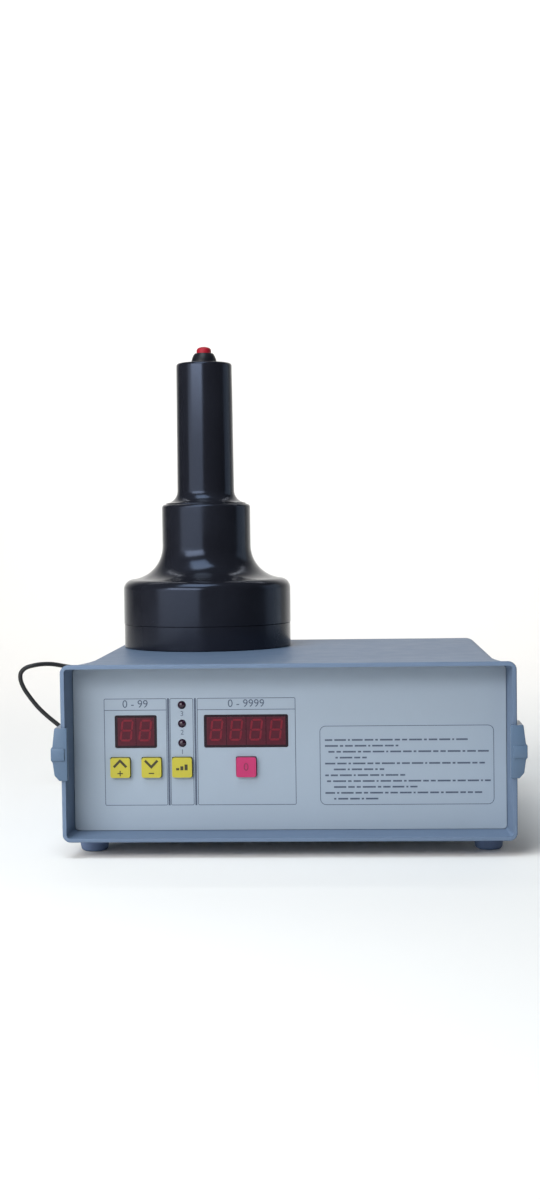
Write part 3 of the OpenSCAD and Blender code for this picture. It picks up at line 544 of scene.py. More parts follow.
class Finishes(Enum):
    """The finishes of this object."""

    # Shell and clip edges carry a painted highlight along with their wear.
    SHELL = Moulding("shell_moulding", srgb(100, 117, 140), wear_and_edge_highlight=0.08, specular=0.12)
    CLIP = Moulding("clip_moulding", srgb(82, 102, 125), roughness=0.42, wear_and_edge_highlight=0.1, specular=0.3)
    PANEL = Moulding("panel_sheet", srgb(144, 157, 171), 0.5, grain=0.0009, relief=0.000008, cloud=0.025)
    REAR = Moulding("rear_sheet", srgb(136, 152, 172), roughness=0.5)
    FOOT = Elastomer("foot_rubber_navy", srgb(84, 102, 134))
    # The head's reflections are tinted blue: painted reflection colour.
    HEAD = Gloss(
        "head_black_gloss", srgb(26, 27, 33), 0.17, 0.1, specular=0.3, coat=0.0, painted_reflection_tint=srgb(196, 216, 255)
    )
    GRIP_COLLAR = Gloss("trigger_collar_black", srgb(24, 25, 30), 0.32, specular=0.2, coat=0.0)
    TRIGGER = Gloss("trigger_red_satin", srgb(150, 20, 38), 0.5, 0.1, specular=0.25, coat=0.0)
    YELLOW_KEY = Moulding("key_yellow_satin", srgb(172, 163, 50), 0.38, relief=0.000008, cloud=0.04)
    MAGENTA_KEY = Moulding("key_magenta_satin", srgb(170, 36, 92), 0.38, relief=0.000008, cloud=0.04)
    KEY_PRINT = Ink("key_print_olive", srgb(42, 37, 13), srgb(90, 83, 28))
    RESET_PRINT = Ink("key_print_maroon", srgb(104, 16, 58), srgb(156, 32, 82))
    PRINT = Ink("panel_print_slate")
    FINE_PRINT = Ink("panel_fine_print", srgb(62, 74, 94))
    FILTER = DisplayFilter("display_filter_red")
    DIGIT_FIELD = Lens("display_digit_field", srgb(80, 22, 38), srgb(62, 18, 32), 0.3, 0.2)
    SEGMENT = Lens("display_segment_unlit", srgb(120, 29, 45), srgb(98, 24, 38), 0.3, 0.2)
    LAMP = Lens("lamp_lens_dark")
    BLACK_PLASTIC = Moulding("black_moulding", srgb(26, 27, 30), roughness=0.5)
    MARK = Ink("switch_mark_white", srgb(214, 216, 218), srgb(120, 122, 126))
    LEAD = Elastomer("lead_sheath_black", srgb(20, 20, 23), roughness=0.48, bloom=0.12)
    TIE = Moulding("tie_white_nylon", srgb(206, 208, 206), roughness=0.4)
    STEEL = Metal("plated_steel")
    SINK = Metal("extruded_aluminium", srgb(196, 198, 202), drawn=(0.06, 1, 1))
    FERRITE = Metal("sintered_ferrite", srgb(66, 66, 72), 0.6, (1, 1, 1), 0.4)
    BOARD = Laminate("circuit_laminate")
    COPPER = WoundWire("wound_copper")
    CAPACITOR = Gloss("capacitor_sleeve", srgb(58, 62, 112), roughness=0.34)
    FLOOR = Paper("floor_paper")


class Workshop:
    """Makes meshes and puts pieces on the object."""

    @staticmethod
    def solid(name: str, mesh: bmesh.types.BMesh, smooth_deg: float = 38.0) -> bpy.types.Object:
        """Turns a built mesh into an object with smooth faces and sharp edges.

        Args:
            name: Name of the piece.
            mesh: Mesh in metres, freed here.
            smooth_deg: Angle from which an edge stays sharp.

        Returns:
            The new object.
        """
        bmesh.ops.remove_doubles(mesh, verts=mesh.verts, dist=WELD_M)
        bmesh.ops.recalc_face_normals(mesh, faces=mesh.faces)
        data = bpy.data.meshes.new(name)
        mesh.to_mesh(data)
        mesh.free()
        made = bpy.data.objects.new(name, data)
        bpy.context.scene.collection.objects.link(made)
        Workshop.soften(made, smooth_deg)
        return made

    @staticmethod
    def soften(piece: bpy.types.Object, smooth_deg: float) -> None:
        """Shades a piece smooth up to an edge angle."""
        piece.data.shade_smooth()
        piece.data.set_sharp_from_angle(angle=math.radians(smooth_deg))

    @staticmethod
    def drawn(piece: bpy.types.Object) -> bpy.types.Mesh:
        """New mesh of a piece as it is drawn, with its modifiers or its type applied."""
        return bpy.data.meshes.new_from_object(piece.evaluated_get(bpy.context.evaluated_depsgraph_get()))

    @staticmethod
    def pour(source: bmesh.types.BMesh, target: bmesh.types.BMesh) -> None:
        """Adds one mesh to another and frees it.

        Args:
            source: Mesh to add, freed here.
            target: Mesh that takes it.
        """
        data = bpy.data.meshes.new("poured")
        source.to_mesh(data)
        source.free()
        target.from_mesh(data)
        bpy.data.meshes.remove(data)

    @staticmethod
    def skin(
        mesh: bmesh.types.BMesh, low: Sequence[bmesh.types.BMVert], high: Sequence[bmesh.types.BMVert]
    ) -> None:
        """Joins two closed rings of corners by a band of faces.

        Args:
            mesh: Mesh that takes the faces.
            low: First ring; a corner on the axis is repeated.
            high: Second ring of as many corners.
        """
        for i in range(len(low)):
            j = (i + 1) % len(low)
            corners = list(dict.fromkeys((low[i], low[j], high[j], high[i])))
            if len(corners) > 2:
                mesh.faces.new(corners)

    @staticmethod
    def round_edges(
        mesh: bmesh.types.BMesh, radius: float, from_deg: float, steps: int, clamp: bool
    ) -> None:
        """Rounds the edges that turn by more than an angle.

        Args:
            mesh: Mesh to round.
            radius: Radius of the edges in millimetres.
            from_deg: Angle from which an edge is rounded.
            steps: Steps in each rounded edge.
            clamp: Whether the radius gives way where edges are close.
        """
        sharp = [edge for edge in mesh.edges if edge.calc_face_angle(0.0) > math.radians(from_deg)]
        bmesh.ops.bevel(
            mesh,
            geom=sharp,
            offset=radius * MM,
            segments=steps,
            profile=0.5,
            affect="EDGES",
            clamp_overlap=clamp,
        )

    @staticmethod
    def lathe(mesh: bmesh.types.BMesh, profile: Sequence[Point2], place: Matrix, sides: int = 96) -> None:
        """Turns a closed half section about its own Z axis.

        Args:
            mesh: Mesh that takes the turned solid.
            profile: Radius and height of each corner in millimetres, in order round the section.
            place: Place and direction of the axis, in metres.
            sides: Steps round the axis.
        """
        turn = [2 * math.pi * step / sides for step in range(sides)]
        rings: list[list[bmesh.types.BMVert]] = []
        for radius, height in profile:
            if radius < ON_AXIS_MM:
                rings.append([mesh.verts.new(place @ Vector((0, 0, height * MM)))] * sides)
                continue
            spots = [Vector((radius * math.cos(a), radius * math.sin(a), height)) for a in turn]
            rings.append([mesh.verts.new(place @ (spot * MM)) for spot in spots])
        for low, high in zip(rings, rings[1:] + rings[:1]):
            Workshop.skin(mesh, low, high)

    @staticmethod
    def prism(
        mesh: bmesh.types.BMesh,
        outline: Sequence[Point2],
        depth: float,
        place: Matrix,
        edge: float = 0.0,
        steps: int = 2,
    ) -> None:
        """Gives an outline thickness, with rounded edges.

        Args:
            mesh: Mesh that takes the prism.
            outline: Corners in millimetres.
            depth: Thickness along local Z in millimetres.
            place: Place of the outline's plane, in metres.
            edge: Radius of the edges in millimetres.
            steps: Steps in each rounded edge.
        """
        own = bmesh.new()
        rings = [[own.verts.new(Vector((x, y, z)) * MM) for x, y in outline] for z in (0.0, depth)]
        own.faces.new(list(reversed(rings[0])))
        own.faces.new(rings[1])
        Workshop.skin(own, *rings)
        if edge:
            Workshop.round_edges(own, edge, from_deg=20, steps=steps, clamp=False)
        own.transform(place)
        Workshop.pour(own, mesh)

    @staticmethod
    def loft(mesh: bmesh.types.BMesh, loops: Sequence[Sequence[Point3]], place: Matrix, edge: float) -> None:
        """Joins loops of corners to a closed solid with rounded edges.

        Args:
            mesh: Mesh that takes the solid.
            loops: Loops of equally many corners in millimetres, in order.
            place: Place of the solid, in metres.
            edge: Radius of the edges in millimetres.
        """
        own = bmesh.new()
        rings = [[own.verts.new(Vector(corner) * MM) for corner in loop] for loop in loops]
        own.faces.new(list(reversed(rings[0])))
        own.faces.new(rings[-1])
        for low, high in zip(rings, rings[1:]):
            Workshop.skin(own, low, high)
        bmesh.ops.remove_doubles(own, verts=own.verts, dist=LOFT_WELD_M)
        bmesh.ops.dissolve_degenerate(own, edges=own.edges, dist=LOFT_WELD_M)
        bmesh.ops.recalc_face_normals(own, faces=own.faces)
        Workshop.round_edges(own, edge, from_deg=25, steps=3, clamp=True)
        own.transform(place)
        Workshop.pour(own, mesh)

    @staticmethod
    def fit(
        piece: bpy.types.Object,
        finish: Finishes,
        slot: str,
        body: str = BODY,
        stands_for: Sequence[str] = (),
    ) -> None:
        """Finishes a piece and fixes it to a body.

        Args:
            piece: The new piece.
            finish: Its finish.
            slot: Material slot of the record that it belongs to; not used.
            body: Body that it moves with.
            stands_for: Nodes that it replaces.
        """
        piece.data.materials.clear()
        piece.data.materials.append(finish.value.material())
        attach(piece, body)
        if stands_for:
            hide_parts(*stands_for)
        LOG.info("piece %s on %s", piece.name, body)

    @staticmethod
    def dress(finish: Finishes, *nodes: str) -> None:
        """Gives nodes of the frame their finish.

        Args:
            finish: The finish.
            *nodes: Names of the nodes.
        """
        for name in nodes:
            for material_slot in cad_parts[name].material_slots:
                material_slot.material = finish.value.material()
            LOG.info("node %s dressed in %s", name, finish.value.name)


def arc(centre: Point2, radius: float, start: float, end: float, steps: int = 10) -> list[Point2]:
    """Points of an arc.

    Args:
        centre: Centre of the arc.
        radius: Its radius.
        start: Angle of the first point in degrees.
        end: Angle of the last point in degrees.
        steps: Steps between them.

    Returns:
        The points in order.
    """
    turn = [math.radians(start + (end - start) * i / steps) for i in range(steps + 1)]
    return [(centre[0] + radius * math.cos(a), centre[1] + radius * math.sin(a)) for a in turn]


def rounded_box(width: float, height: float, radius: float, steps: int = 6) -> list[Point2]:
    """Outline of a rounded rectangle about the origin.

    Args:
        width: Full width.
        height: Full height.
        radius: Corner radius.
        steps: Steps in each corner.

    Returns:
        The outline, counter-clockwise.
    """
    x, y = width / 2 - radius, height / 2 - radius
    corners = ((x, y, 0), (-x, y, 90), (-x, -y, 180), (x, -y, 270))
    return [point for cx, cy, a in corners for point in arc((cx, cy), radius, a, a + 90, steps)]


def facing_front(x: float, y: float, z: float) -> Matrix:
    """Frame on a front face, from millimetres: local X right, local Y up, local Z towards the front."""
    return Matrix.Translation(Vector((x, y, z)) * MM) @ Matrix.Rotation(math.radians(90), 4, "X")


def spline(points: Sequence[Vector], steps: int) -> list[Vector]:
    """Catmull-Rom curve through points.

    Args:
        points: Points that the curve passes.
        steps: Steps between two points.

    Returns:
        Points along the curve.
    """
    last = len(points) - 1
    curve: list[Vector] = []
    for i in range(last):
        p0, p1, p2, p3 = points[max(0, i - 1)], points[i], points[i + 1], points[min(last, i + 2)]
        slope = p2 - p0
        bow = 2 * p0 - 5 * p1 + 4 * p2 - p3
        twist = 3 * p1 - p0 - 3 * p2 + p3
        for step in range(steps):
            t = step / steps
            curve.append(0.5 * (2 * p1 + slope * t + bow * t ** 2 + twist * t ** 3))
    return curve + [points[last]]


@dataclass(frozen=True)
class SoftBox:
    """Rectangular soft light; metres and watts."""

    name: str
    spot: Point3
    size: Point2
    power: float
    aim: Point3 = (0.0, 0.0, 0.14)
    tint: Point3 = (1.0, 1.0, 1.0)

    def build(self) -> None:
        """Adds the light, turned to its aim."""
        data = bpy.data.lights.new(self.name, "AREA")
        data.color = self.tint
        data.shape = "RECTANGLE"
        data.size, data.size_y = self.size
        data.energy = self.power
        made = bpy.data.objects.new(self.name, data)
        bpy.context.scene.collection.objects.link(made)
        made.location = self.spot
        made.rotation_euler = (Vector(self.aim) - Vector(self.spot)).to_track_quat("-Z", "Y").to_euler()


@dataclass
class Studio:
    """Camera, backdrop and lights."""

    eye: Point3 = (0.03808, -1.14887, 0.19996)
    yaw_deg: float = 2.677
    pitch_deg: float = 2.454
    roll_deg: float = -0.737
    lens: float = 51.0
    sensor: float = 36.0
    floor_half: float = 3.0
    wall_y: float = 2.2
    bend: float = 1.0
    surround: Colour = srgb(226, 234, 246)
    surround_strength: float = 0.03
    boxes: tuple[SoftBox, ...] = (
        SoftBox("key_box", (-0.6, -0.97, 0.68), (1.05, 0.36), 10.3),
        SoftBox("left_box", (-1.05, -1.35, 0.42), (2.0, 0.8), 12.7),
        SoftBox("overhead_box", (-0.3, -0.6, 1.6), (0.9, 0.9), 18.0, tint=(0.8, 0.91, 1.0)),
        SoftBox("right_box", (1.3, 0.5, 0.45), (0.9, 0.9), 2.2, tint=(0.72, 0.86, 1.0)),
        SoftBox("wall_box", (0.0, 0.9, 1.6), (2.4, 0.4), 29.0, (0.0, 2.2, 0.5)),
    )

    def build(self) -> None:
        """Sets the camera, the backdrop and the lights."""
        self.camera()
        self.backdrop()
        self.lights()

    def camera(self) -> None:
        """Camera at the viewing angle of the picture."""
        yaw, pitch, roll = (math.radians(a) for a in (self.yaw_deg, self.pitch_deg, self.roll_deg))
        ahead = Vector((-math.sin(yaw) * math.cos(pitch), math.cos(yaw) * math.cos(pitch), -math.sin(pitch)))
        right = Vector((math.cos(yaw), math.sin(yaw), 0))
        up = right.cross(ahead)
        across = right * math.cos(roll) + up * math.sin(roll)
        upright = up * math.cos(roll) - right * math.sin(roll)
        data = bpy.data.cameras.new("camera")
        data.lens, data.sensor_width = self.lens, self.sensor
        made = bpy.data.objects.new("camera", data)
        bpy.context.scene.collection.objects.link(made)
        turn = Matrix((across, upright, -ahead)).transposed().to_4x4()
        made.matrix_world = Matrix.Translation(self.eye) @ turn
        bpy.context.scene.camera = made

    def backdrop(self) -> None:
        """Pale floor that bends up into a wall."""
        bend = arc((self.wall_y - self.bend, self.bend), self.bend, -90, 0, steps=16)
        section = [(-self.floor_half, 0.0), *bend, (self.wall_y, self.floor_half)]
        mesh = bmesh.new()
        rows = [[mesh.verts.new((x, y, z)) for x in (-self.floor_half, self.floor_half)] for y, z in section]
        for low, high in zip(rows, rows[1:]):
            mesh.faces.new([low[0], low[1], high[1], high[0]])
        floor = Workshop.solid("floor", mesh)
        floor.data.materials.append(Finishes.FLOOR.value.material())

    def lights(self) -> None:
        """Two boxes on the left, one overhead, one on the right, one on the wall, and a faint surround."""
        scene = bpy.context.scene
        scene.view_settings.view_transform = "Standard"
        world = bpy.data.worlds.new("surround")
        world.use_nodes = True
        background = world.node_tree.nodes["Background"]
        background.inputs["Color"].default_value = self.surround
        background.inputs["Strength"].default_value = self.surround_strength
        scene.world = world
        for box in self.boxes:
            box.build()


@dataclass(frozen=True)
class Gland:
    """Ribbed strain relief of a lead, pointing to the rear; millimetres."""

    name: str
    node: str
    spot: Point3
    flange_r: float
    flange_t: float
    root_r: float
    reach: float
    ribs: int = 6
    spigot: float = 5.0
    spigot_share: float = 0.62
    flange_edge: float = 0.8
    rib_draft: float = 0.1
    rib_end: float = 0.62
    groove: Point2 = (0.7, 0.95)
    groove_d: float = 0.7
    tip_wall: float = 0.6
    tip_edge: float = 0.3
    sides: int = 40

    def section(self, lead_d: float) -> list[Point2]:
        """Half section, from the spigot in the wall over the flange and the ribs to the tip.

        Args:
            lead_d: Diameter of the lead.

        Returns:
            Its corners.
        """
        tip = lead_d / 2 + self.tip_wall
        spigot_r = self.flange_r * self.spigot_share
        corner = (self.flange_r - self.flange_edge, self.flange_t - self.flange_edge)
        step = (self.reach - self.flange_t) / self.ribs
        points: list[Point2] = [(0, -self.spigot), (spigot_r, -self.spigot), (spigot_r, 0)]
        points += [(self.flange_r, 0)]
        points += arc(corner, self.flange_edge, 0, 90, steps=4)
        for rib in range(self.ribs):
            low = self.flange_t + rib * step
            radius = self.root_r + (tip - self.root_r) * rib / self.ribs
            points += [(radius, low + self.rib_draft), (radius - self.rib_draft, low + step * self.rib_end)]
            points += [(radius - self.groove_d, low + step * share) for share in self.groove]
        points += [(tip, self.reach - self.tip_edge), (tip - self.tip_edge, self.reach)]
        return points + [(0, self.reach)]

    def build(self, lead_d: float) -> bpy.types.Object:
        """Makes the gland.

        Args:
            lead_d: Diameter of the lead.

        Returns:
            The piece.
        """
        mesh = bmesh.new()
        facing_rear = Matrix.Translation(Vector(self.spot) * MM) @ Matrix.Rotation(math.radians(-90), 4, "X")
        Workshop.lathe(mesh, self.section(lead_d), facing_rear, self.sides)
        piece = Workshop.solid(self.name, mesh)
        Workshop.fit(piece, Finishes.LEAD, "lead_sheath", stands_for=(self.node,))
        return piece


@dataclass
class Lead:
    """Lead between the case and the sealing head, with its coil, tie and glands; millimetres."""

    diameter: float = 3.4
    coil_centre: Point2 = (-33.0, 158.0)
    points_per_turn: int = 40
    steps_between_points: int = 6
    roundness: int = 4
    shift_from: float = 0.66
    turns: tuple[Point2, ...] = (
        (20.7, 2.4), (17.3, 2.4), (17.3, 5.8), (20.7, 5.8), (17.3, 9.2), (20.7, 9.2)
    )
    loop: tuple[Point3, ...] = (
        (-104, 147, 96), (-104, 158, 96), (-107, 168, 95.5), (-116, 175, 94), (-131, 178, 92),
        (-150, 177, 90.2), (-168, 174, 90.8), (-182, 170, 92.8), (-193.4, 166, 95.2), (-201, 162, 95.7),
        (-207.4, 159, 95), (-213.3, 157, 93.3), (-216.8, 156, 90), (-217.6, 156, 86), (-216.7, 157, 80.9),
        (-213.2, 158, 73.8), (-205.4, 160, 62.8), (-197.3, 161, 54.6), (-190.6, 162, 48.8), (-176, 162, 36),
        (-161, 162, 22), (-146, 161, 10.5), (-130, 158, 4), (-112, 154, 2), (-92, 149, 2), (-72, 143, 2),
        (-54, 139, 2.2), (-33, 137.3, 2.4),
    )
    riser: tuple[Point3, ...] = (
        (-33, 178.7, 9.2), (-42, 178.7, 9.6), (-51, 178.5, 13), (-58, 178.3, 20), (-62, 178, 30),
        (-64, 177.8, 44), (-64, 177.6, 62), (-64, 177.4, 80), (-64, 176.5, 97), (-64, 173, 110),
        (-64, 165, 119.5), (-64, 156, 123.5), (-64, 147.7, 124),
    )
    glands: tuple[Gland, ...] = (
        Gland("case_gland", "case_lead_gland", (-104, 123, 96), 7.5, 4.0, 5.0, 24.0),
        Gland("head_gland", "head_lead_gland", (-64, 129.7, 124), 5.5, 2.0, 4.2, 18.0),
    )

    def coil(self) -> list[Vector]:
        """Points of the coiled turns, each moving to the next one's place over its last third.

        Returns:
            The points in millimetres, from the near side to the far side.
        """
        points: list[Vector] = []
        last = len(self.turns) - 0.5
        for i in range(int(last * self.points_per_turn) + 1):
            turn = i / self.points_per_turn
            here = self.turns[min(int(turn), len(self.turns) - 1)]
            after = self.turns[min(int(turn) + 1, len(self.turns) - 1)]
            share = max(0.0, (turn % 1 - self.shift_from) / (1 - self.shift_from))
            share = share * share * (3 - 2 * share)
            radius = here[0] + (after[0] - here[0]) * share
            height = here[1] + (after[1] - here[1]) * share
            angle = 2 * math.pi * turn - math.pi / 2
            x, y = self.coil_centre
            points.append(Vector((x + radius * math.cos(angle), y + radius * math.sin(angle), height)))
        return points

    def build(self) -> None:
        first = spline([Vector(p) for p in self.loop], self.steps_between_points)
        final = spline([Vector(p) for p in self.riser], self.steps_between_points)
        path = [point * MM for point in first[:-1] + self.coil()[:-1] + final]
        data = bpy.data.curves.new("head_lead", "CURVE")
        data.dimensions, data.use_fill_caps = "3D", True
        data.bevel_depth, data.bevel_resolution = self.diameter * MM / 2, self.roundness
        line = data.splines.new("POLY")
        line.points.add(len(path) - 1)
        for point, spot in zip(line.points, path):
            point.co = (*spot, 1)
        lead = bpy.data.objects.new("head_lead", data)
        bpy.context.scene.collection.objects.link(lead)
        Workshop.fit(lead, Finishes.LEAD, "lead_sheath", stands_for=("lead_loop", "lead_coil", "lead_riser"))
        glands = [gland.build(self.diameter) for gland in self.glands]
        Workshop.dress(Finishes.TIE, "lead_tie")


@dataclass
class Case:
    """Moulded half shells, panels, side clips and feet; millimetres."""

    rim: Point2 = (275.0, 108.0)
    depth: float = 262.0
    foot_h: float = 10.0
    wall: float = 2.5
    inset: Point2 = (4.5, 3.0)
    flare_len: float = 90.0
    flare_power: float = 1.6
    rim_r: float = 5.0
    body_r: float = 8.0
    recess: float = 20.0
    recess_r: float = 2.0
    panel_t: float = 2.5
    rear_recess: float = 8.0
    lip_r: float = 0.8
    lip_steps: tuple[float, ...] = (0, 0.1, 0.3, 0.6, 1)
    bead_d: float = 3.6
    bead_step: float = 0.22
    bead_rows: tuple[float, ...] = (-0.05, 0.15, 0.8)
    recess_rows: tuple[float, ...] = (8, 12, 16)
    flare_rows: int = 16
    groove: float = 0.4
    rib_h: float = 4.0
    rib_t: float = 2.5
    rib_draft: float = 0.4
    rib_lead: float = 0.3
    corner_steps: int = 10
    smooth_deg: float = 32.0
    vent_count: int = 14
    vent_pitch: float = 8.0
    vent: Point2 = (3.0, 60.0)
    vent_end: float = 0.01
    vent_cut: float = 20.0
    foot_x: float = 122.5
    foot_in: float = 31.0
    pad_z: float = 6.0
    pad_r: float = 9.2
    pad_edge: float = 0.6
    rear_pad_top: float = 17.0
    foot_r: float = 8.5
    foot_edge: float = 2.4
    foot_lean_deg: float = 8.0
    foot_top_r: float = 9.0
    foot_bevel: Point2 = (0.2, 0.3)
    well_r: float = 3.3
    shank_r: float = 1.6
    turned_sides: int = 48
    clip_reach: float = 24.0
    clip_web: float = 1.8
    clip_h: float = 32.0
    clip_hook: float = 3.0
    clip_hook_t: float = 1.1
    clip_hook_root: float = 0.8
    clip_in: float = 4.0
    clip_band: float = 7.5
    clip_gap: float = 0.05
    clip_edge: float = 0.45
    hook_edge: float = 0.3
    band_edge: float = 0.4
    clip_out: tuple[Point2, ...] = (
        (0, 16), (3.6, 16), (5, 4.6), (5.9, 3.75), (5.9, -3.75), (5, -4.6), (3.9, -12.7), (1, -16), (0, -16)
    )

    @property
    def middle(self) -> float:
        """Height of the parting line."""
        return self.foot_h + self.rim[1] / 2

    def flare(self, d: float) -> float:
        """Share of the draw-in that the outside has reached at a distance behind the rim."""
        if d <= self.bead_d:
            return 0.0
        left = max(0.0, 1 - (d - self.bead_d) / (self.flare_len - self.bead_d))
        return self.bead_step + (1 - self.bead_step) * (1 - left ** self.flare_power)

    def inner_flare(self, d: float) -> float:
        """The same for the inside, straight as far as the panel."""
        return self.flare(self.recess) * d / self.recess if d < self.recess else self.flare(d)

    def lip(self, d: float) -> float:
        """Rounding of the front and rear edges, as a step in from the outside."""
        near = min(d, self.depth - d)
        if near >= self.lip_r:
            return 0.0
        return self.lip_r - math.sqrt(max(0.0, self.lip_r ** 2 - (self.lip_r - near) ** 2))

    def arch(self, half_w: float, half_h: float, radius: float) -> list[Point2]:
        """Half outline of a rounded rectangle, from the right over the top to the left."""
        x, y = half_w - radius, half_h - radius
        right = arc((x, y), radius, 0, 90, self.corner_steps)
        return right + arc((-x, y), radius, 90, 180, self.corner_steps)

    def outer_half(self, d: float) -> list[Point2]:
        """Half section of the outside, grooved at the parting line."""
        f = self.flare(d)
        w = self.rim[0] / 2 - self.inset[0] * f - self.lip(d)
        h = self.rim[1] / 2 - self.inset[1] * f - self.lip(d)
        ends = ((w - self.groove, 0.0), (w, self.groove))
        curve = self.arch(w, h, self.rim_r + (self.body_r - self.rim_r) * f)
        return [*ends, *curve, *((-x, y) for x, y in reversed(ends))]

    def inner_half(self, d: float, rib: float) -> list[Point2]:
        """Half section of the inside, sharper in the front recess, with a rib standing in from the wall."""
        f = self.inner_flare(d)
        in_recess = d <= self.recess + self.panel_t and rib == 0
        radius = self.recess_r if in_recess else self.rim_r + (self.body_r - self.rim_r) * f - self.wall / 2
        w = self.rim[0] / 2 - self.wall - self.inset[0] * f - rib
        h = self.rim[1] / 2 - self.wall - self.inset[1] * f - rib
        ends = ((w, 0.0), (w, self.groove))
        curve = self.arch(w, h, radius)
        return [*ends, *curve, *((-x, y) for x, y in reversed(ends))]

    def stations(self) -> list[Point3]:
        """Distance of the outside, distance of the inside and height of the rib, from front to rear."""
        front_rib = self.recess + self.panel_t
        rear_rib = self.depth - self.rear_recess - self.panel_t
        front_end, rear_start = front_rib + self.rib_t, rear_rib - self.rib_t
        lip = [self.lip_r * share for share in self.lip_steps]
        flare = [self.flare_len * row / self.flare_rows for row in range(self.flare_rows + 1)]
        plain = [*lip, *(self.bead_d + d for d in self.bead_rows), *self.recess_rows]
        rows: list[Point3] = [(d, d, 0.0) for d in plain]
        rows += [(front_rib - self.rib_lead, front_rib, 0.0)]
        rows += [(front_rib + self.rib_lead, front_rib, self.rib_h), (front_end, front_end, self.rib_h)]
        rows += [(d, d, 0.0) for d in (front_end + self.rib_draft, *(f for f in flare if f > front_end))]
        rows += [(rear_start - self.rib_draft, rear_start - self.rib_draft, 0.0)]
        rows += [(rear_start, rear_start, self.rib_h), (rear_rib - self.rib_lead, rear_rib, self.rib_h)]
        rows += [(rear_rib + self.rib_lead, rear_rib, 0.0)]
        return rows + [(self.depth - d, self.depth - d, 0.0) for d in reversed(lip)]

    def half_shell(self, name: str, side: int) -> bpy.types.Object:
        """Lofts one half shell.

        Args:
            name: Name of the piece.
            side: 1 for the upper half and -1 for the lower one.

        Returns:
            The piece.
        """
        mesh = bmesh.new()
        rings = []
        for out_d, in_d, rib in self.stations():
            outside = [(x, out_d - self.depth / 2, y) for x, y in self.outer_half(out_d)]
            inside = [(x, in_d - self.depth / 2, y) for x, y in self.inner_half(in_d, rib)]
            points = outside + inside[::-1]
            rings.append([mesh.verts.new(Vector((x, y, self.middle + side * z)) * MM) for x, y, z in points])
        count = len(rings[0])
        for front, back in zip(rings, rings[1:]):
            Workshop.skin(mesh, front, back)
        for ring in (rings[0], rings[-1]):
            for j in range(count // 2 - 1):
                mesh.faces.new([ring[j], ring[j + 1], ring[count - 2 - j], ring[count - 1 - j]])
        return Workshop.solid(name, mesh, self.smooth_deg)

    def cut_vents(self, shell: bpy.types.Object) -> None:
        """Cuts the row of slots through the floor.

        Args:
            shell: The lower half shell.
        """
        mesh = bmesh.new()
        width, length = self.vent
        slot = rounded_box(width, length, width / 2 - self.vent_end, steps=5)
        for i in range(self.vent_count):
            x = (i - (self.vent_count - 1) / 2) * self.vent_pitch
            Workshop.prism(mesh, slot, self.vent_cut, Matrix.Translation(Vector((x, 0, 0)) * MM))
        cutter = Workshop.solid("vent_cutter", mesh)
        cut = shell.modifiers.new("vents", "BOOLEAN")
        cut.operation, cut.object, cut.solver = "DIFFERENCE", cutter, "EXACT"
        drawn = Workshop.drawn(shell)
        shell.modifiers.clear()
        shell.data = drawn
        Workshop.soften(shell, self.smooth_deg)
        bpy.data.objects.remove(cutter)

    def foot_place(self, x: int, y: int) -> Matrix:
        """Place of a foot on the ground.

        Args:
            x: Side, -1 or 1.
            y: End, -1 or 1.

        Returns:
            The place.
        """
        return Matrix.Translation(Vector((x * self.foot_x, y * (self.depth / 2 - self.foot_in), 0)) * MM)

    def pads(self) -> bpy.types.Object:
        """Moulded pads that stand out of the floor above the feet."""
        mesh = bmesh.new()
        front_top = self.foot_h + self.inset[1] * self.flare(self.foot_in) + self.wall / 2
        corner = (self.pad_r - self.pad_edge, self.pad_z + self.pad_edge)
        edge = arc(corner, self.pad_edge, -90, 0, steps=4)
        for x in (-1, 1):
            for y, top in ((-1, front_top), (1, self.rear_pad_top)):
                section = [(0, self.pad_z), *edge, (self.pad_r, top), (0, top)]
                Workshop.lathe(mesh, section, self.foot_place(x, y), self.turned_sides)
        return Workshop.solid("foot_pads", mesh)

    def foot(self, name: str, x: int, y: int) -> None:
        """Makes one rubber foot with the well of its screw.

        Args:
            name: Node that it stands for.
            x: Side, -1 or 1.
            y: End, -1 or 1.
        """
        corner = (self.foot_r - self.foot_edge, self.foot_edge)
        bevel_in, bevel_down = self.foot_bevel
        section: list[Point2] = [(self.well_r, 0.0)]
        section += arc(corner, self.foot_edge, -90, -self.foot_lean_deg, steps=8)
        section += [(self.foot_top_r, self.pad_z - bevel_down), (self.foot_top_r - bevel_in, self.pad_z)]
        section += [(self.shank_r, self.pad_z), (self.shank_r, self.pad_z / 2)]
        section += [(self.well_r, self.pad_z / 2)]
        mesh = bmesh.new()
        Workshop.lathe(mesh, section, self.foot_place(x, y), self.turned_sides)
        piece = Workshop.solid(name + "_rubber", mesh)
        Workshop.fit(piece, Finishes.FOOT, "foot_rubber", stands_for=(name,))

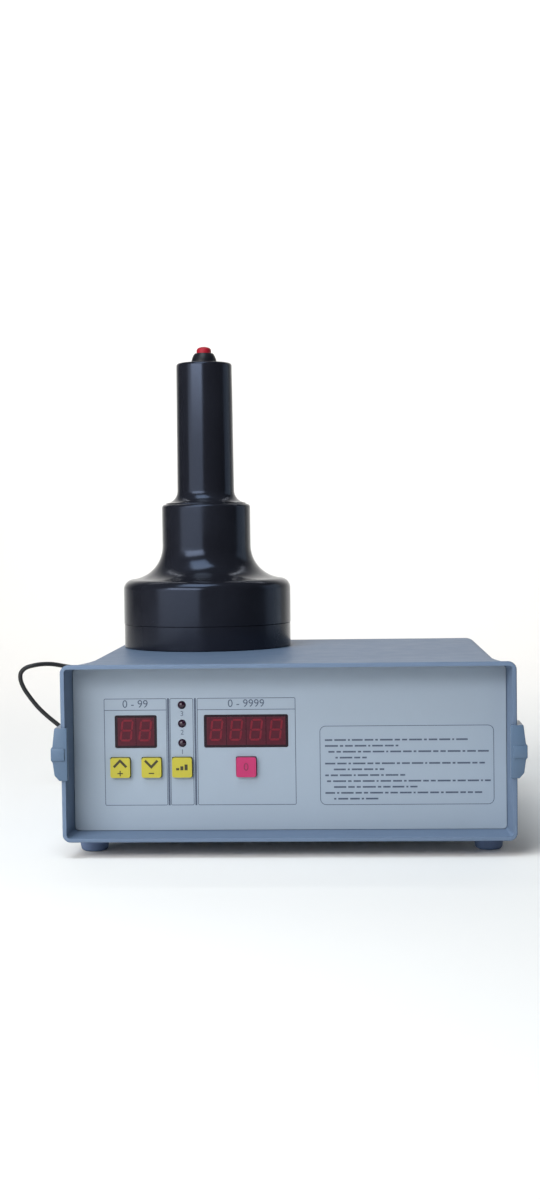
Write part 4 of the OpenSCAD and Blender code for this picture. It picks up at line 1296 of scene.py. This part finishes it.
    def clip(self, name: str, side: int, end: int) -> None:
        """Makes one clip over a side edge.

        Args:
            name: Node that it stands for.
            side: -1 on the left and 1 on the right.
            end: -1 at the front and 1 at the rear.
        """
        x_out = self.rim[0] / 2 - (self.inset[0] if end > 0 else 0.0)
        home = Matrix.Translation(Vector((side * x_out, end * self.depth / 2, self.middle)) * MM)
        home = home @ Matrix.Diagonal((side, -end, 1, 1))
        outer = [(max(x, self.clip_gap), z) for x, z in self.clip_out]
        cover = [(-self.clip_in, outer[0][1]), *outer[1:-1], (-self.clip_in, outer[-1][1])]
        tongue = self.upright(-self.clip_in, self.clip_hook_t - self.clip_in, self.clip_h)
        band = self.upright(-self.wall, self.clip_out[3][0] - self.clip_gap, self.clip_band)
        front = -self.clip_web - self.lip_r
        shell = ((-self.clip_web, cover), (0.0, cover), (0.0, outer), (self.clip_reach, outer))
        solids = (
            (shell, self.clip_edge),
            (((-self.clip_hook_root, tongue), (self.clip_hook, tongue)), self.hook_edge),
            (((front, band), (front + self.clip_web, band)), self.band_edge),
        )
        mesh = bmesh.new()
        for loops, edge in solids:
            Workshop.loft(mesh, [[(x, y, z) for x, z in loop] for y, loop in loops], home, edge)
        piece = Workshop.solid(name + "_cover", mesh)
        Workshop.fit(piece, Finishes.CLIP, "case_shell", stands_for=(name,))

    @staticmethod
    def upright(left: float, right: float, height: float) -> list[Point2]:
        """Corners of a rectangle that reaches as far up as down.

        Args:
            left: Left edge.
            right: Right edge.
            height: Full height.

        Returns:
            The corners, counter-clockwise from the lower left one.
        """
        return [(left, -height / 2), (right, -height / 2), (right, height / 2), (left, height / 2)]

    def build(self) -> None:
        """Makes the shells, pads, feet and clips, and dresses the panels."""
        upper = self.half_shell("upper_cover", 1)
        Workshop.fit(upper, Finishes.SHELL, "case_shell", stands_for=("upper_shell",))
        lower = self.half_shell("lower_tray", -1)
        self.cut_vents(lower)
        Workshop.fit(lower, Finishes.SHELL, "case_shell", stands_for=("lower_shell",))
        Workshop.fit(self.pads(), Finishes.SHELL, "case_shell")
        ends = {"front": -1, "rear": 1}
        sides = {"left": -1, "right": 1}
        for end, y in ends.items():
            for side, x in sides.items():
                self.foot(f"{end}_{side}_foot", x, y)
                self.clip(f"{side}_{end}_clip", x, y)
        Workshop.dress(Finishes.PANEL, "front_panel")
        Workshop.dress(Finishes.REAR, "rear_panel")
        Workshop.dress(Finishes.STEEL, "foot_screws")


class Legend(Enum):
    """Marks printed on the key caps."""

    UP = "up"
    DOWN = "down"
    LEVELS = "levels"
    ZERO = "zero"


@dataclass
class KeyPanel:
    """Print, displays, lamps and keys of the front panel; millimetres."""

    face_y: float = -111.0
    ink_t: float = 0.04
    line: float = 0.38
    boxes: tuple[tuple[float, float, float, float], ...] = (
        (-113.8, -75.0, 29.4, 95.6), (-73.1, -58.6, 29.4, 95.6), (-56.3, 4.3, 29.4, 95.6)
    )
    frame_r: float = 1.0
    least_r: float = 0.05
    rails: tuple[float, ...] = (-74.05, -57.45)
    rail_w: float = 1.2
    header_z: float = 88.4
    ranges: tuple[tuple[int, str], ...] = ((0, "0 - 99"), (2, "0 - 9999"))
    range_size: float = 5.0
    type_scale: float = 1.35
    type_steps: int = 4
    note: tuple[float, float, float, float] = (18.9, 125.3, 29.1, 77.9)
    note_r: float = 3.7
    row_top: float = 69.1
    row_pitch: float = 3.62
    row_h: float = 1.05
    rows: tuple[Point2, ...] = (
        (0.03, 0.87), (0.03, 0.46), (0.05, 0.97), (0.09, 0.28), (0.03, 0.95), (0.08, 0.37),
        (0.03, 0.49), (0.04, 0.98), (0.08, 0.56), (0.03, 0.93), (0.08, 0.35),
    )
    dash_mean: float = 4.6
    dash_swing: float = 3.4
    dash_turns: Point2 = (2.3, 1.7)
    dash_gap: float = 1.2
    dash_least: float = 1.5
    windows: tuple[tuple[float, int, float, float], ...] = ((-94.2, 2, 26.0, 20.3), (-26.2, 4, 51.8, 20.3))
    window_z: float = 75.1
    window_y: float = -110.6
    border: float = 1.5
    field_gap: float = 0.35
    field_r: float = 0.3
    digit: Point2 = (7.4, 13.4)
    digit_lift: float = 0.7
    slant: float = 0.12
    segment: float = 1.15
    segment_gap: float = 0.25
    lamp_x: float = -65.6
    lamps: tuple[tuple[float, str], ...] = ((91.4, "3"), (79.9, "2"), (67.9, "1"))
    lamp_type: float = 3.2
    lamp_type_drop: float = 5.5
    key_z: float = 53.0
    key_w: float = 12.2
    key_r: float = 1.3
    key_edge: float = 0.9
    key_smooth_deg: float = 50.0
    key_face: float = -113.6
    key_depth: float = 6.4
    keys: tuple[tuple[str, float, Legend], ...] = (
        ("increase", -104.0, Legend.UP),
        ("decrease", -84.7, Legend.DOWN),
        ("level", -65.8, Legend.LEVELS),
        ("reset", -26.3, Legend.ZERO),
    )
    chevron: Point2 = (3.9, 2.0)
    chevron_z: float = 2.5
    chevron_w: float = 1.5
    mitre_least: float = 0.4
    sign_z: float = -3.4
    sign_reach: float = 1.7
    sign_half: float = 0.35
    level_left: float = -3.6
    level_pitch: float = 2.6
    level_w: float = 1.9
    level_low: float = -1.6
    level_tops: tuple[float, ...] = (-0.2, 0.9, 2.0)
    zero_size: float = 5.0

    def bar(self, mesh: bmesh.types.BMesh, low: Point2, high: Point2, y: float) -> None:
        """Adds a printed bar between two corners, on a front face at depth y."""
        outline = [low, (high[0], low[1]), high, (low[0], high[1])]
        Workshop.prism(mesh, outline, self.ink_t, facing_front(0, y, 0))

    def stroke(self, mesh: bmesh.types.BMesh, points: Sequence[Point2], width: float, y: float) -> None:
        """Adds a printed stroke along points, on a front face at depth y.

        Args:
            mesh: Mesh that takes the stroke.
            points: Points of the stroke, across and up.
            width: Width of the stroke.
            y: Depth of the face.
        """
        left, right = [], []
        for i, point in enumerate(points):
            before = Vector(points[max(0, i - 1)])
            after = Vector(points[min(len(points) - 1, i + 1)])
            heading = (after - before).normalized()
            bend = 1.0
            if 0 < i < len(points) - 1:
                leg = (Vector(point) - before).normalized()
                bend = 1 / max(self.mitre_least, leg.dot(heading))
            aside = Vector((-heading.y, heading.x)) * width / 2 * bend
            left.append(tuple(Vector(point) + aside))
            right.append(tuple(Vector(point) - aside))
        Workshop.prism(mesh, right + left[::-1], self.ink_t, facing_front(0, y, 0))

    def outline(self, mesh: bmesh.types.BMesh, box: Sequence[float], radius: float, y: float) -> None:
        """Adds a thin printed frame.

        Args:
            mesh: Mesh that takes the frame.
            box: Left, right, lower and upper edge.
            radius: Corner radius.
            y: Depth of the face.
        """
        left, right, low, high = box
        centre = Vector(((left + right) / 2, (low + high) / 2))
        loops = []
        for inset in (0.0, self.line):
            size = (right - left - 2 * inset, high - low - 2 * inset)
            corner = max(self.least_r, radius - inset)
            loops.append([Vector(p) + centre for p in rounded_box(*size, corner)])
        place = facing_front(0, y, 0)
        rings = [
            [mesh.verts.new(place @ (Vector((*p, depth)) * MM)) for p in loop]
            for depth in (0.0, self.ink_t) for loop in loops
        ]
        for first, second in ((0, 1), (1, 3), (3, 2), (2, 0)):
            Workshop.skin(mesh, rings[first], rings[second])

    def numeral(self, text: str, size: float, centre: Point2, y: float) -> bmesh.types.BMesh:
        """Makes printed numerals.

        Args:
            text: Numerals and signs.
            size: Height of the type.
            centre: Middle of the text, across and up.
            y: Depth of the face.

        Returns:
            Their mesh.
        """
        data = bpy.data.curves.new("numeral", "FONT")
        data.body, data.size, data.extrude = text, size * MM * self.type_scale, self.ink_t * MM / 2
        data.align_x, data.align_y, data.resolution_u = "CENTER", "CENTER", self.type_steps
        shaped = bpy.data.objects.new("numeral", data)
        bpy.context.scene.collection.objects.link(shaped)
        drawn = Workshop.drawn(shaped)
        mesh = bmesh.new()
        mesh.from_mesh(drawn)
        mesh.transform(facing_front(centre[0], y - self.ink_t / 2, centre[1]))
        bpy.data.objects.remove(shaped)
        bpy.data.meshes.remove(drawn)
        return mesh

    def print_panel(self) -> None:
        """Prints the frames, rails, numerals and the block of rows."""
        bold, fine = bmesh.new(), bmesh.new()
        for box in self.boxes:
            self.outline(bold, box, self.frame_r, self.face_y)
        half = self.line / 2
        for index, text in self.ranges:
            left, right, _, high = self.boxes[index]
            self.bar(bold, (left, self.header_z - half), (right, self.header_z + half), self.face_y)
            centre = ((left + right) / 2, (self.header_z + high) / 2)
            Workshop.pour(self.numeral(text, self.range_size, centre, self.face_y), bold)
        _, _, low, high = self.boxes[0]
        for x in self.rails:
            self.bar(fine, (x - self.rail_w / 2, low), (x + self.rail_w / 2, high), self.face_y)
        for z, text in self.lamps:
            centre = (self.lamp_x, z - self.lamp_type_drop)
            Workshop.pour(self.numeral(text, self.lamp_type, centre, self.face_y), bold)
        self.outline(bold, self.note, self.note_r, self.face_y)
        self.print_rows(fine)
        Workshop.fit(Workshop.solid("panel_print", bold), Finishes.PRINT, "case_shell")
        Workshop.fit(Workshop.solid("panel_small_print", fine), Finishes.FINE_PRINT, "case_shell")

    def print_rows(self, mesh: bmesh.types.BMesh) -> None:
        """Prints the block's rows as dashes of word length, without letters."""
        left, right, _, _ = self.note
        span, half = right - left, self.row_h / 2
        by_word, by_row = self.dash_turns
        for index, (start, end) in enumerate(self.rows):
            z = self.row_top - index * self.row_pitch
            x, last, word = left + start * span, left + end * span, 0
            while x < last - self.dash_least:
                length = self.dash_mean + self.dash_swing * math.sin(by_word * word + by_row * index)
                stop = min(x + length, last)
                self.bar(mesh, (x, z - half), (stop, z + half), self.face_y)
                x, word = stop + self.dash_gap, word + 1

    def segments(self, mesh: bmesh.types.BMesh, x: float, z: float, y: float) -> None:
        """Adds the seven bars of one slanted digit.

        Args:
            mesh: Mesh that takes the bars.
            x: Middle of the digit across.
            z: Middle of the digit in height.
            y: Depth of the face.
        """
        w, h = (side / 2 - self.segment / 2 for side in self.digit)
        lines = [((-w, at), (w, at)) for at in (h, 0, -h)]
        lines += [((at, low), (at, low + h)) for low in (0, -h) for at in (-w, w)]
        for start, end in lines:
            heading = (Vector(end) - Vector(start)).normalized()
            aside = Vector((-heading.y, heading.x)) * self.segment / 2
            tip = heading * self.segment / 2
            first = Vector(start) + heading * self.segment_gap
            last = Vector(end) - heading * self.segment_gap
            near, far = first + tip, last - tip
            corners = [first, near - aside, far - aside, last, far + aside, near + aside]
            shape = [(x + p.x + self.slant * p.y, z + p.y) for p in corners]
            Workshop.prism(mesh, shape, self.ink_t, facing_front(0, y, 0))

    def displays(self) -> None:
        """Puts the digit fields and unlit bars on the two windows."""
        fields, bars = bmesh.new(), bmesh.new()
        for middle, count, width, height in self.windows:
            cell = (width - 2 * self.border) / count
            outline = rounded_box(cell - self.field_gap, height - 2 * self.border, self.field_r, steps=2)
            for i in range(count):
                x = middle + (i - (count - 1) / 2) * cell
                Workshop.prism(fields, outline, self.ink_t, facing_front(x, self.window_y, self.window_z))
                self.segments(bars, x, self.window_z + self.digit_lift, self.window_y - self.ink_t)
        Workshop.fit(Workshop.solid("digit_fields", fields), Finishes.DIGIT_FIELD, "red_filter")
        Workshop.fit(Workshop.solid("digit_bars", bars), Finishes.SEGMENT, "red_filter")

    def key(self, name: str, x: float, legend: Legend) -> None:
        """Makes one key cap and its mark.

        Args:
            name: Body of the key.
            x: Place of the key across.
            legend: Mark on the cap.
        """
        finish, ink, slot = Finishes.YELLOW_KEY, Finishes.KEY_PRINT, "yellow_key"
        if legend is Legend.ZERO:
            finish, ink, slot = Finishes.MAGENTA_KEY, Finishes.RESET_PRINT, "magenta_key"
        mesh = bmesh.new()
        outline = rounded_box(self.key_w, self.key_w, self.key_r, steps=5)
        place = facing_front(x, self.key_face + self.key_depth, self.key_z)
        Workshop.prism(mesh, outline, self.key_depth, place, self.key_edge, steps=4)
        cap = Workshop.solid(name + "_cap", mesh, self.key_smooth_deg)
        Workshop.fit(cap, finish, slot, name, (name + "_key",))
        mark = Workshop.solid(name + "_mark", self.mark(x, legend))
        Workshop.fit(mark, ink, slot, name)

    def mark(self, x: float, legend: Legend) -> bmesh.types.BMesh:
        """Draws a key's mark.

        Args:
            x: Place of the key across.
            legend: Mark to draw.

        Returns:
            Its mesh.
        """
        mesh = bmesh.new()
        y, z = self.key_face, self.key_z
        if legend in (Legend.UP, Legend.DOWN):
            reach, rise = self.chevron
            rise = rise if legend is Legend.UP else -rise
            low, high = z + self.chevron_z - rise, z + self.chevron_z + rise
            self.stroke(mesh, [(x - reach, low), (x, high), (x + reach, low)], self.chevron_w, y)
            middle, half, far = z + self.sign_z, self.sign_half, self.sign_reach
            self.bar(mesh, (x - far, middle - half), (x + far, middle + half), y)
            if legend is Legend.UP:
                self.bar(mesh, (x - half, middle - far), (x + half, middle - half), y)
                self.bar(mesh, (x - half, middle + half), (x + half, middle + far), y)
        elif legend is Legend.LEVELS:
            for step, top in enumerate(self.level_tops):
                left = x + self.level_left + step * self.level_pitch
                self.bar(mesh, (left, z + self.level_low), (left + self.level_w, z + top), y)
        else:
            Workshop.pour(self.numeral("0", self.zero_size, (x, z), y), mesh)
        return mesh

    def build(self) -> None:
        """Makes the print, displays and keys, and dresses the lamps and the board behind."""
        self.print_panel()
        self.displays()
        for name, x, legend in self.keys:
            self.key(name, x, legend)
        Workshop.dress(Finishes.FILTER, "time_window", "count_window")
        Workshop.dress(Finishes.LAMP, "high_lamp", "middle_lamp", "low_lamp")
        Workshop.dress(Finishes.BLACK_PLASTIC, "time_display", "count_display", "key_switches")
        Workshop.dress(Finishes.BOARD, "control_board")
        Workshop.dress(Finishes.STEEL, "board_spacers", "board_screws")


@dataclass
class RearPanel:
    """Fan, mains inlet and power rocker at the rear; millimetres."""

    fan: Point3 = (48.0, 123.0, 64.0)
    guard_radii: tuple[float, ...] = (8.0, 14.0, 20.0, 26.0)
    wire_r: float = 0.8
    wire_sides: int = 12
    ring_sides: int = 72
    ring_y: float = 2.2
    fan_pitch: float = 50.0
    screw_head_r: float = 3.4
    spoke_in: float = 1.5
    spoke_gap: float = 0.4
    tab_r: Point2 = (2.0, 5.0)
    tab_t: float = 1.2
    small_sides: int = 32
    rocker: Point3 = (-36.0, 122.0, 83.0)
    rocker_rest_deg: float = 9.0
    rocker_fall: Point2 = (7.1, 1.6)
    mark_y: float = 4.26
    mark_z: float = 3.8
    mark_t: float = 0.05
    mark_bar: Point2 = (0.5, 2.8)
    mark_ring: Point2 = (1.0, 1.45)

    def guard(self) -> None:
        """Makes the wire guard: rings, spokes and fixing tabs."""
        mesh = bmesh.new()
        place = Matrix.Translation(Vector(self.fan) * MM) @ Matrix.Rotation(math.radians(-90), 4, "X")
        last_deg = 360 - 360 / self.wire_sides
        for radius in self.guard_radii:
            section = arc((radius, self.ring_y), self.wire_r, 0, last_deg, self.wire_sides - 1)
            Workshop.lathe(mesh, section, place, self.ring_sides)
        reach = self.fan_pitch / math.sqrt(2)
        spoke_from = self.guard_radii[0] - self.spoke_in
        length = reach - self.screw_head_r - self.spoke_gap - spoke_from
        inner, outer = self.tab_r
        for quarter in range(4):
            spoke = place @ Matrix.Rotation(math.radians(45 + 90 * quarter), 4, "Z")
            start = Matrix.Translation(Vector((spoke_from, 0, self.wire_r)) * MM)
            along = spoke @ start @ Matrix.Rotation(math.radians(90), 4, "Y")
            rod = [(0, 0), (self.wire_r, 0), (self.wire_r, length), (0, length)]
            Workshop.lathe(mesh, rod, along, self.wire_sides)
            tab = spoke @ Matrix.Translation(Vector((reach, 0, 0)) * MM)
            washer = [(inner, 0), (outer, 0), (outer, self.tab_t), (inner, self.tab_t)]
            Workshop.lathe(mesh, washer, tab, self.small_sides)
        Workshop.fit(Workshop.solid("wire_guard", mesh), Finishes.STEEL, "steel", stands_for=("fan_guard",))

    def rocker_marks(self) -> None:
        """Prints a bar and a ring on the rocker's two halves."""
        mesh = bmesh.new()
        home = Matrix.Translation(Vector(self.rocker) * MM)
        home = home @ Matrix.Rotation(math.radians(self.rocker_rest_deg), 4, "X")
        run, fall = self.rocker_fall
        width, height = self.mark_bar
        inner, outer = self.mark_ring
        for sign in (-1, 1):
            slope = math.degrees(math.atan2(fall, run)) * sign
            spot = Matrix.Translation(Vector((0, self.mark_y, self.mark_z * sign)) * MM)
            face = home @ spot @ Matrix.Rotation(math.radians(-90 - slope), 4, "X")
            if sign > 0:
                corners = ((-1, -1), (1, -1), (1, 1), (-1, 1))
                bar = [(x * width / 2, z * height / 2) for x, z in corners]
                Workshop.prism(mesh, bar, self.mark_t, face)
            else:
                ring = [(inner, 0), (outer, 0), (outer, self.mark_t), (inner, self.mark_t)]
                Workshop.lathe(mesh, ring, face, self.small_sides)
        marks = Workshop.solid("rocker_marks", mesh)
        Workshop.fit(marks, Finishes.MARK, "black_plastic", "power_rocker")

    def build(self) -> None:
        """Makes the guard and the rocker's marks, and dresses the rest."""
        self.guard()
        self.rocker_marks()
        Workshop.dress(Finishes.BLACK_PLASTIC, "fan_frame", "fan_rotor")
        Workshop.dress(Finishes.BLACK_PLASTIC, "mains_inlet", "switch_frame", "switch_rocker")
        Workshop.dress(Finishes.STEEL, "fan_screws", "inlet_blades")


@dataclass
class PowerStage:
    """Inner pieces on the power board."""

    finishes: dict[Finishes, tuple[str, ...]] = field(default_factory=lambda: {
        Finishes.BOARD: ("power_board",),
        Finishes.STEEL: ("power_board_screws",),
        Finishes.SINK: ("heat_sink",),
        Finishes.BLACK_PLASTIC: ("power_transistors",),
        Finishes.FERRITE: ("transformer_core",),
        Finishes.COPPER: ("transformer_winding",),
        Finishes.CAPACITOR: ("filter_capacitors", "resonant_capacitors"),
    })

    def build(self) -> None:
        """Dresses the inner pieces."""
        for finish, nodes in self.finishes.items():
            Workshop.dress(finish, *nodes)


@dataclass
class SealingHead:
    """Turned hand head that rests on the lid; millimetres, heights above the lid."""

    axis: Point2 = (-64.0, 70.0)
    lid_z: float = 115.0
    base_r: float = 59.7
    wall_h: float = 41.7
    wall_t: float = 4.0
    base_step: float = 0.2
    base_edge: float = 1.0
    base_bevel: float = 0.3
    seam_z: float = 17.0
    seam_bevel: float = 0.35
    shoulder_r: float = 7.0
    collar_r: float = 31.6
    sweep_r: float = 24.0
    collar_top: float = 102.0
    collar_edge: float = 2.5
    spigot_r: float = 22.05
    spigot_d: float = 17.0
    foot_r: float = 28.6
    foot_t: float = 0.8
    grip_fillet: float = 9.0
    grip_r: float = 19.8
    grip_swell: float = 0.5
    grip_top: float = 202.5
    grip_edge: float = 2.0
    grip_bore: float = 15.5
    bushing_r: float = 6.05
    bushing_d: float = 5.0
    ogive_base: float = 9.2
    ogive_r: float = 14.0
    ogive_drop: float = 1.0
    ogive_h: float = 7.0
    ogive_bevel: Point2 = (0.25, 0.2)
    ogive_seat: float = 2.2
    button_r: float = 5.2
    button_gap: float = 0.35
    button_low: float = 4.4
    button_top: float = 11.8
    button_edge: float = 2.4
    button_dome: float = 10.0
    plunger_r: float = 2.6
    plunger_d: float = 4.0
    sides: int = 128

    def bell(self) -> list[Point2]:
        """Half section of the bell, from the seam over the shoulder and sweep to the collar."""
        shoulder = (self.base_r - self.shoulder_r, self.wall_h)
        sweep_x = self.collar_r + self.sweep_r
        reach = self.shoulder_r + self.sweep_r
        sweep = (sweep_x, self.wall_h + math.sqrt(reach ** 2 - (sweep_x - shoulder[0]) ** 2))
        meet = math.degrees(math.atan2(sweep[1] - shoulder[1], sweep[0] - shoulder[0]))
        corner = (self.collar_r - self.collar_edge, self.collar_top - self.collar_edge)
        section: list[Point2] = [(self.base_r - self.seam_bevel, self.seam_z)]
        section += [(self.base_r, self.seam_z + self.seam_bevel)]
        section += arc(shoulder, self.shoulder_r, 0, meet, steps=16)
        section += arc(sweep, self.sweep_r, meet + 180, 180, steps=24)[1:]
        section += arc(corner, self.collar_edge, 0, 90, steps=10)
        section += [(self.spigot_r, self.collar_top), (self.spigot_r, self.collar_top - self.spigot_d)]
        section += arc(sweep, self.sweep_r + self.wall_t, 180, meet + 180, steps=16)
        section += arc(shoulder, self.shoulder_r - self.wall_t, meet, 0, steps=6)[1:]
        return section + [(self.base_r - self.wall_t, self.seam_z)]

    def base(self) -> list[Point2]:
        """Half section of the base, with its rounded lower edge and a groove at the seam."""
        rim, bore = self.base_r - self.base_step, self.base_r - self.wall_t
        edge = arc((rim - self.base_edge, self.base_edge), self.base_edge, -90, 0, steps=8)
        section: list[Point2] = [(0, 0), *edge]
        section += [(rim, self.seam_z - self.base_bevel), (rim - self.base_bevel, self.seam_z)]
        return section + [(bore, self.seam_z), (bore, self.wall_t), (0, self.wall_t)]

    def grip(self) -> list[Point2]:
        """Half section of the grip, from its foot over the fillet to the end."""
        low_r = self.grip_r + self.grip_swell
        fillet = (low_r + self.grip_fillet, self.collar_top + self.foot_t + self.grip_fillet)
        drop = math.degrees(math.acos((fillet[0] - self.foot_r) / self.grip_fillet))
        corner = (self.grip_r - self.grip_edge, self.grip_top - self.grip_edge)
        shelf = self.grip_top - self.bushing_d
        section: list[Point2] = [(self.foot_r, self.collar_top)]
        section += arc(fillet, self.grip_fillet, 180 + drop, 180, steps=16)
        section += arc(corner, self.grip_edge, 0, 90, steps=8)
        section += [(self.bushing_r, self.grip_top), (self.bushing_r, shelf)]
        return section + [(self.grip_bore, shelf), (self.grip_bore, self.collar_top)]

    def collar(self) -> list[Point2]:
        """Half section of the domed collar round the button."""
        end, bore = self.grip_top, self.button_r + self.button_gap
        seat, top = end + self.ogive_seat, end + self.ogive_h
        bevel_in, bevel_down = self.ogive_bevel
        centre = (self.ogive_base - self.ogive_r, end - self.ogive_drop)
        heights = (0, self.ogive_h - bevel_down)
        start, stop = (math.degrees(math.asin((h + self.ogive_drop) / self.ogive_r)) for h in heights)
        section: list[Point2] = [(bore, seat), (self.bushing_r, seat), (self.bushing_r, end)]
        section += arc(centre, self.ogive_r, start, stop, steps=14)
        return section + [(section[-1][0] - bevel_in, top), (bore, top)]

    def button(self) -> list[Point2]:
        """Half section of the button, with its edge rounded into a shallow dome, and its plunger."""
        top, low = self.grip_top + self.button_top, self.grip_top + self.button_low
        edge_x = self.button_r - self.button_edge
        rise = math.sqrt((self.button_dome - self.button_edge) ** 2 - edge_x ** 2)
        dome = (0.0, top - self.button_dome)
        meet = math.degrees(math.atan2(rise, edge_x))
        tip = low - self.plunger_d
        section: list[Point2] = [(0, tip), (self.plunger_r, tip), (self.plunger_r, low)]
        section += [(self.button_r, low), *arc((edge_x, dome[1] + rise), self.button_edge, 0, meet, steps=8)]
        return section + arc(dome, self.button_dome, meet, 90, steps=6)[1:-1] + [(0, top)]

    def build(self) -> None:
        """Turns the head's pieces and dresses what is inside."""
        place = Matrix.Translation(Vector((*self.axis, self.lid_z)) * MM)
        for name, section, finish, slot, node, body in (
            ("base_tub", self.base(), Finishes.HEAD, "head_gloss", "head_base", BODY),
            ("bell", self.bell(), Finishes.HEAD, "head_gloss", "bell_housing", BODY),
            ("grip", self.grip(), Finishes.HEAD, "head_gloss", "handle_grip", BODY),
            ("button_collar", self.collar(), Finishes.GRIP_COLLAR, "black_plastic", "trigger_collar", BODY),
            ("red_button", self.button(), Finishes.TRIGGER, "trigger_red", "trigger_button", "trigger"),
        ):
            mesh = bmesh.new()
            Workshop.lathe(mesh, section, place, self.sides)
            Workshop.fit(Workshop.solid(name, mesh), finish, slot, body, (node,))
        Workshop.dress(Finishes.COPPER, "coil_winding")
        Workshop.dress(Finishes.FERRITE, "ferrite_bars")
        Workshop.dress(Finishes.BLACK_PLASTIC, "trigger_switch")
        Workshop.dress(Finishes.STEEL, "trigger_spring")


def main() -> None:
    """Builds the scene's classes in order."""
    logging.basicConfig(level=logging.INFO, format="%(name)s: %(message)s")
    for part in (Studio(), Lead(), Case(), KeyPanel(), RearPanel(), PowerStage(), SealingHead()):
        part.build()
        LOG.info("%s done", type(part).__name__)


if __name__ == "__main__":
    main()
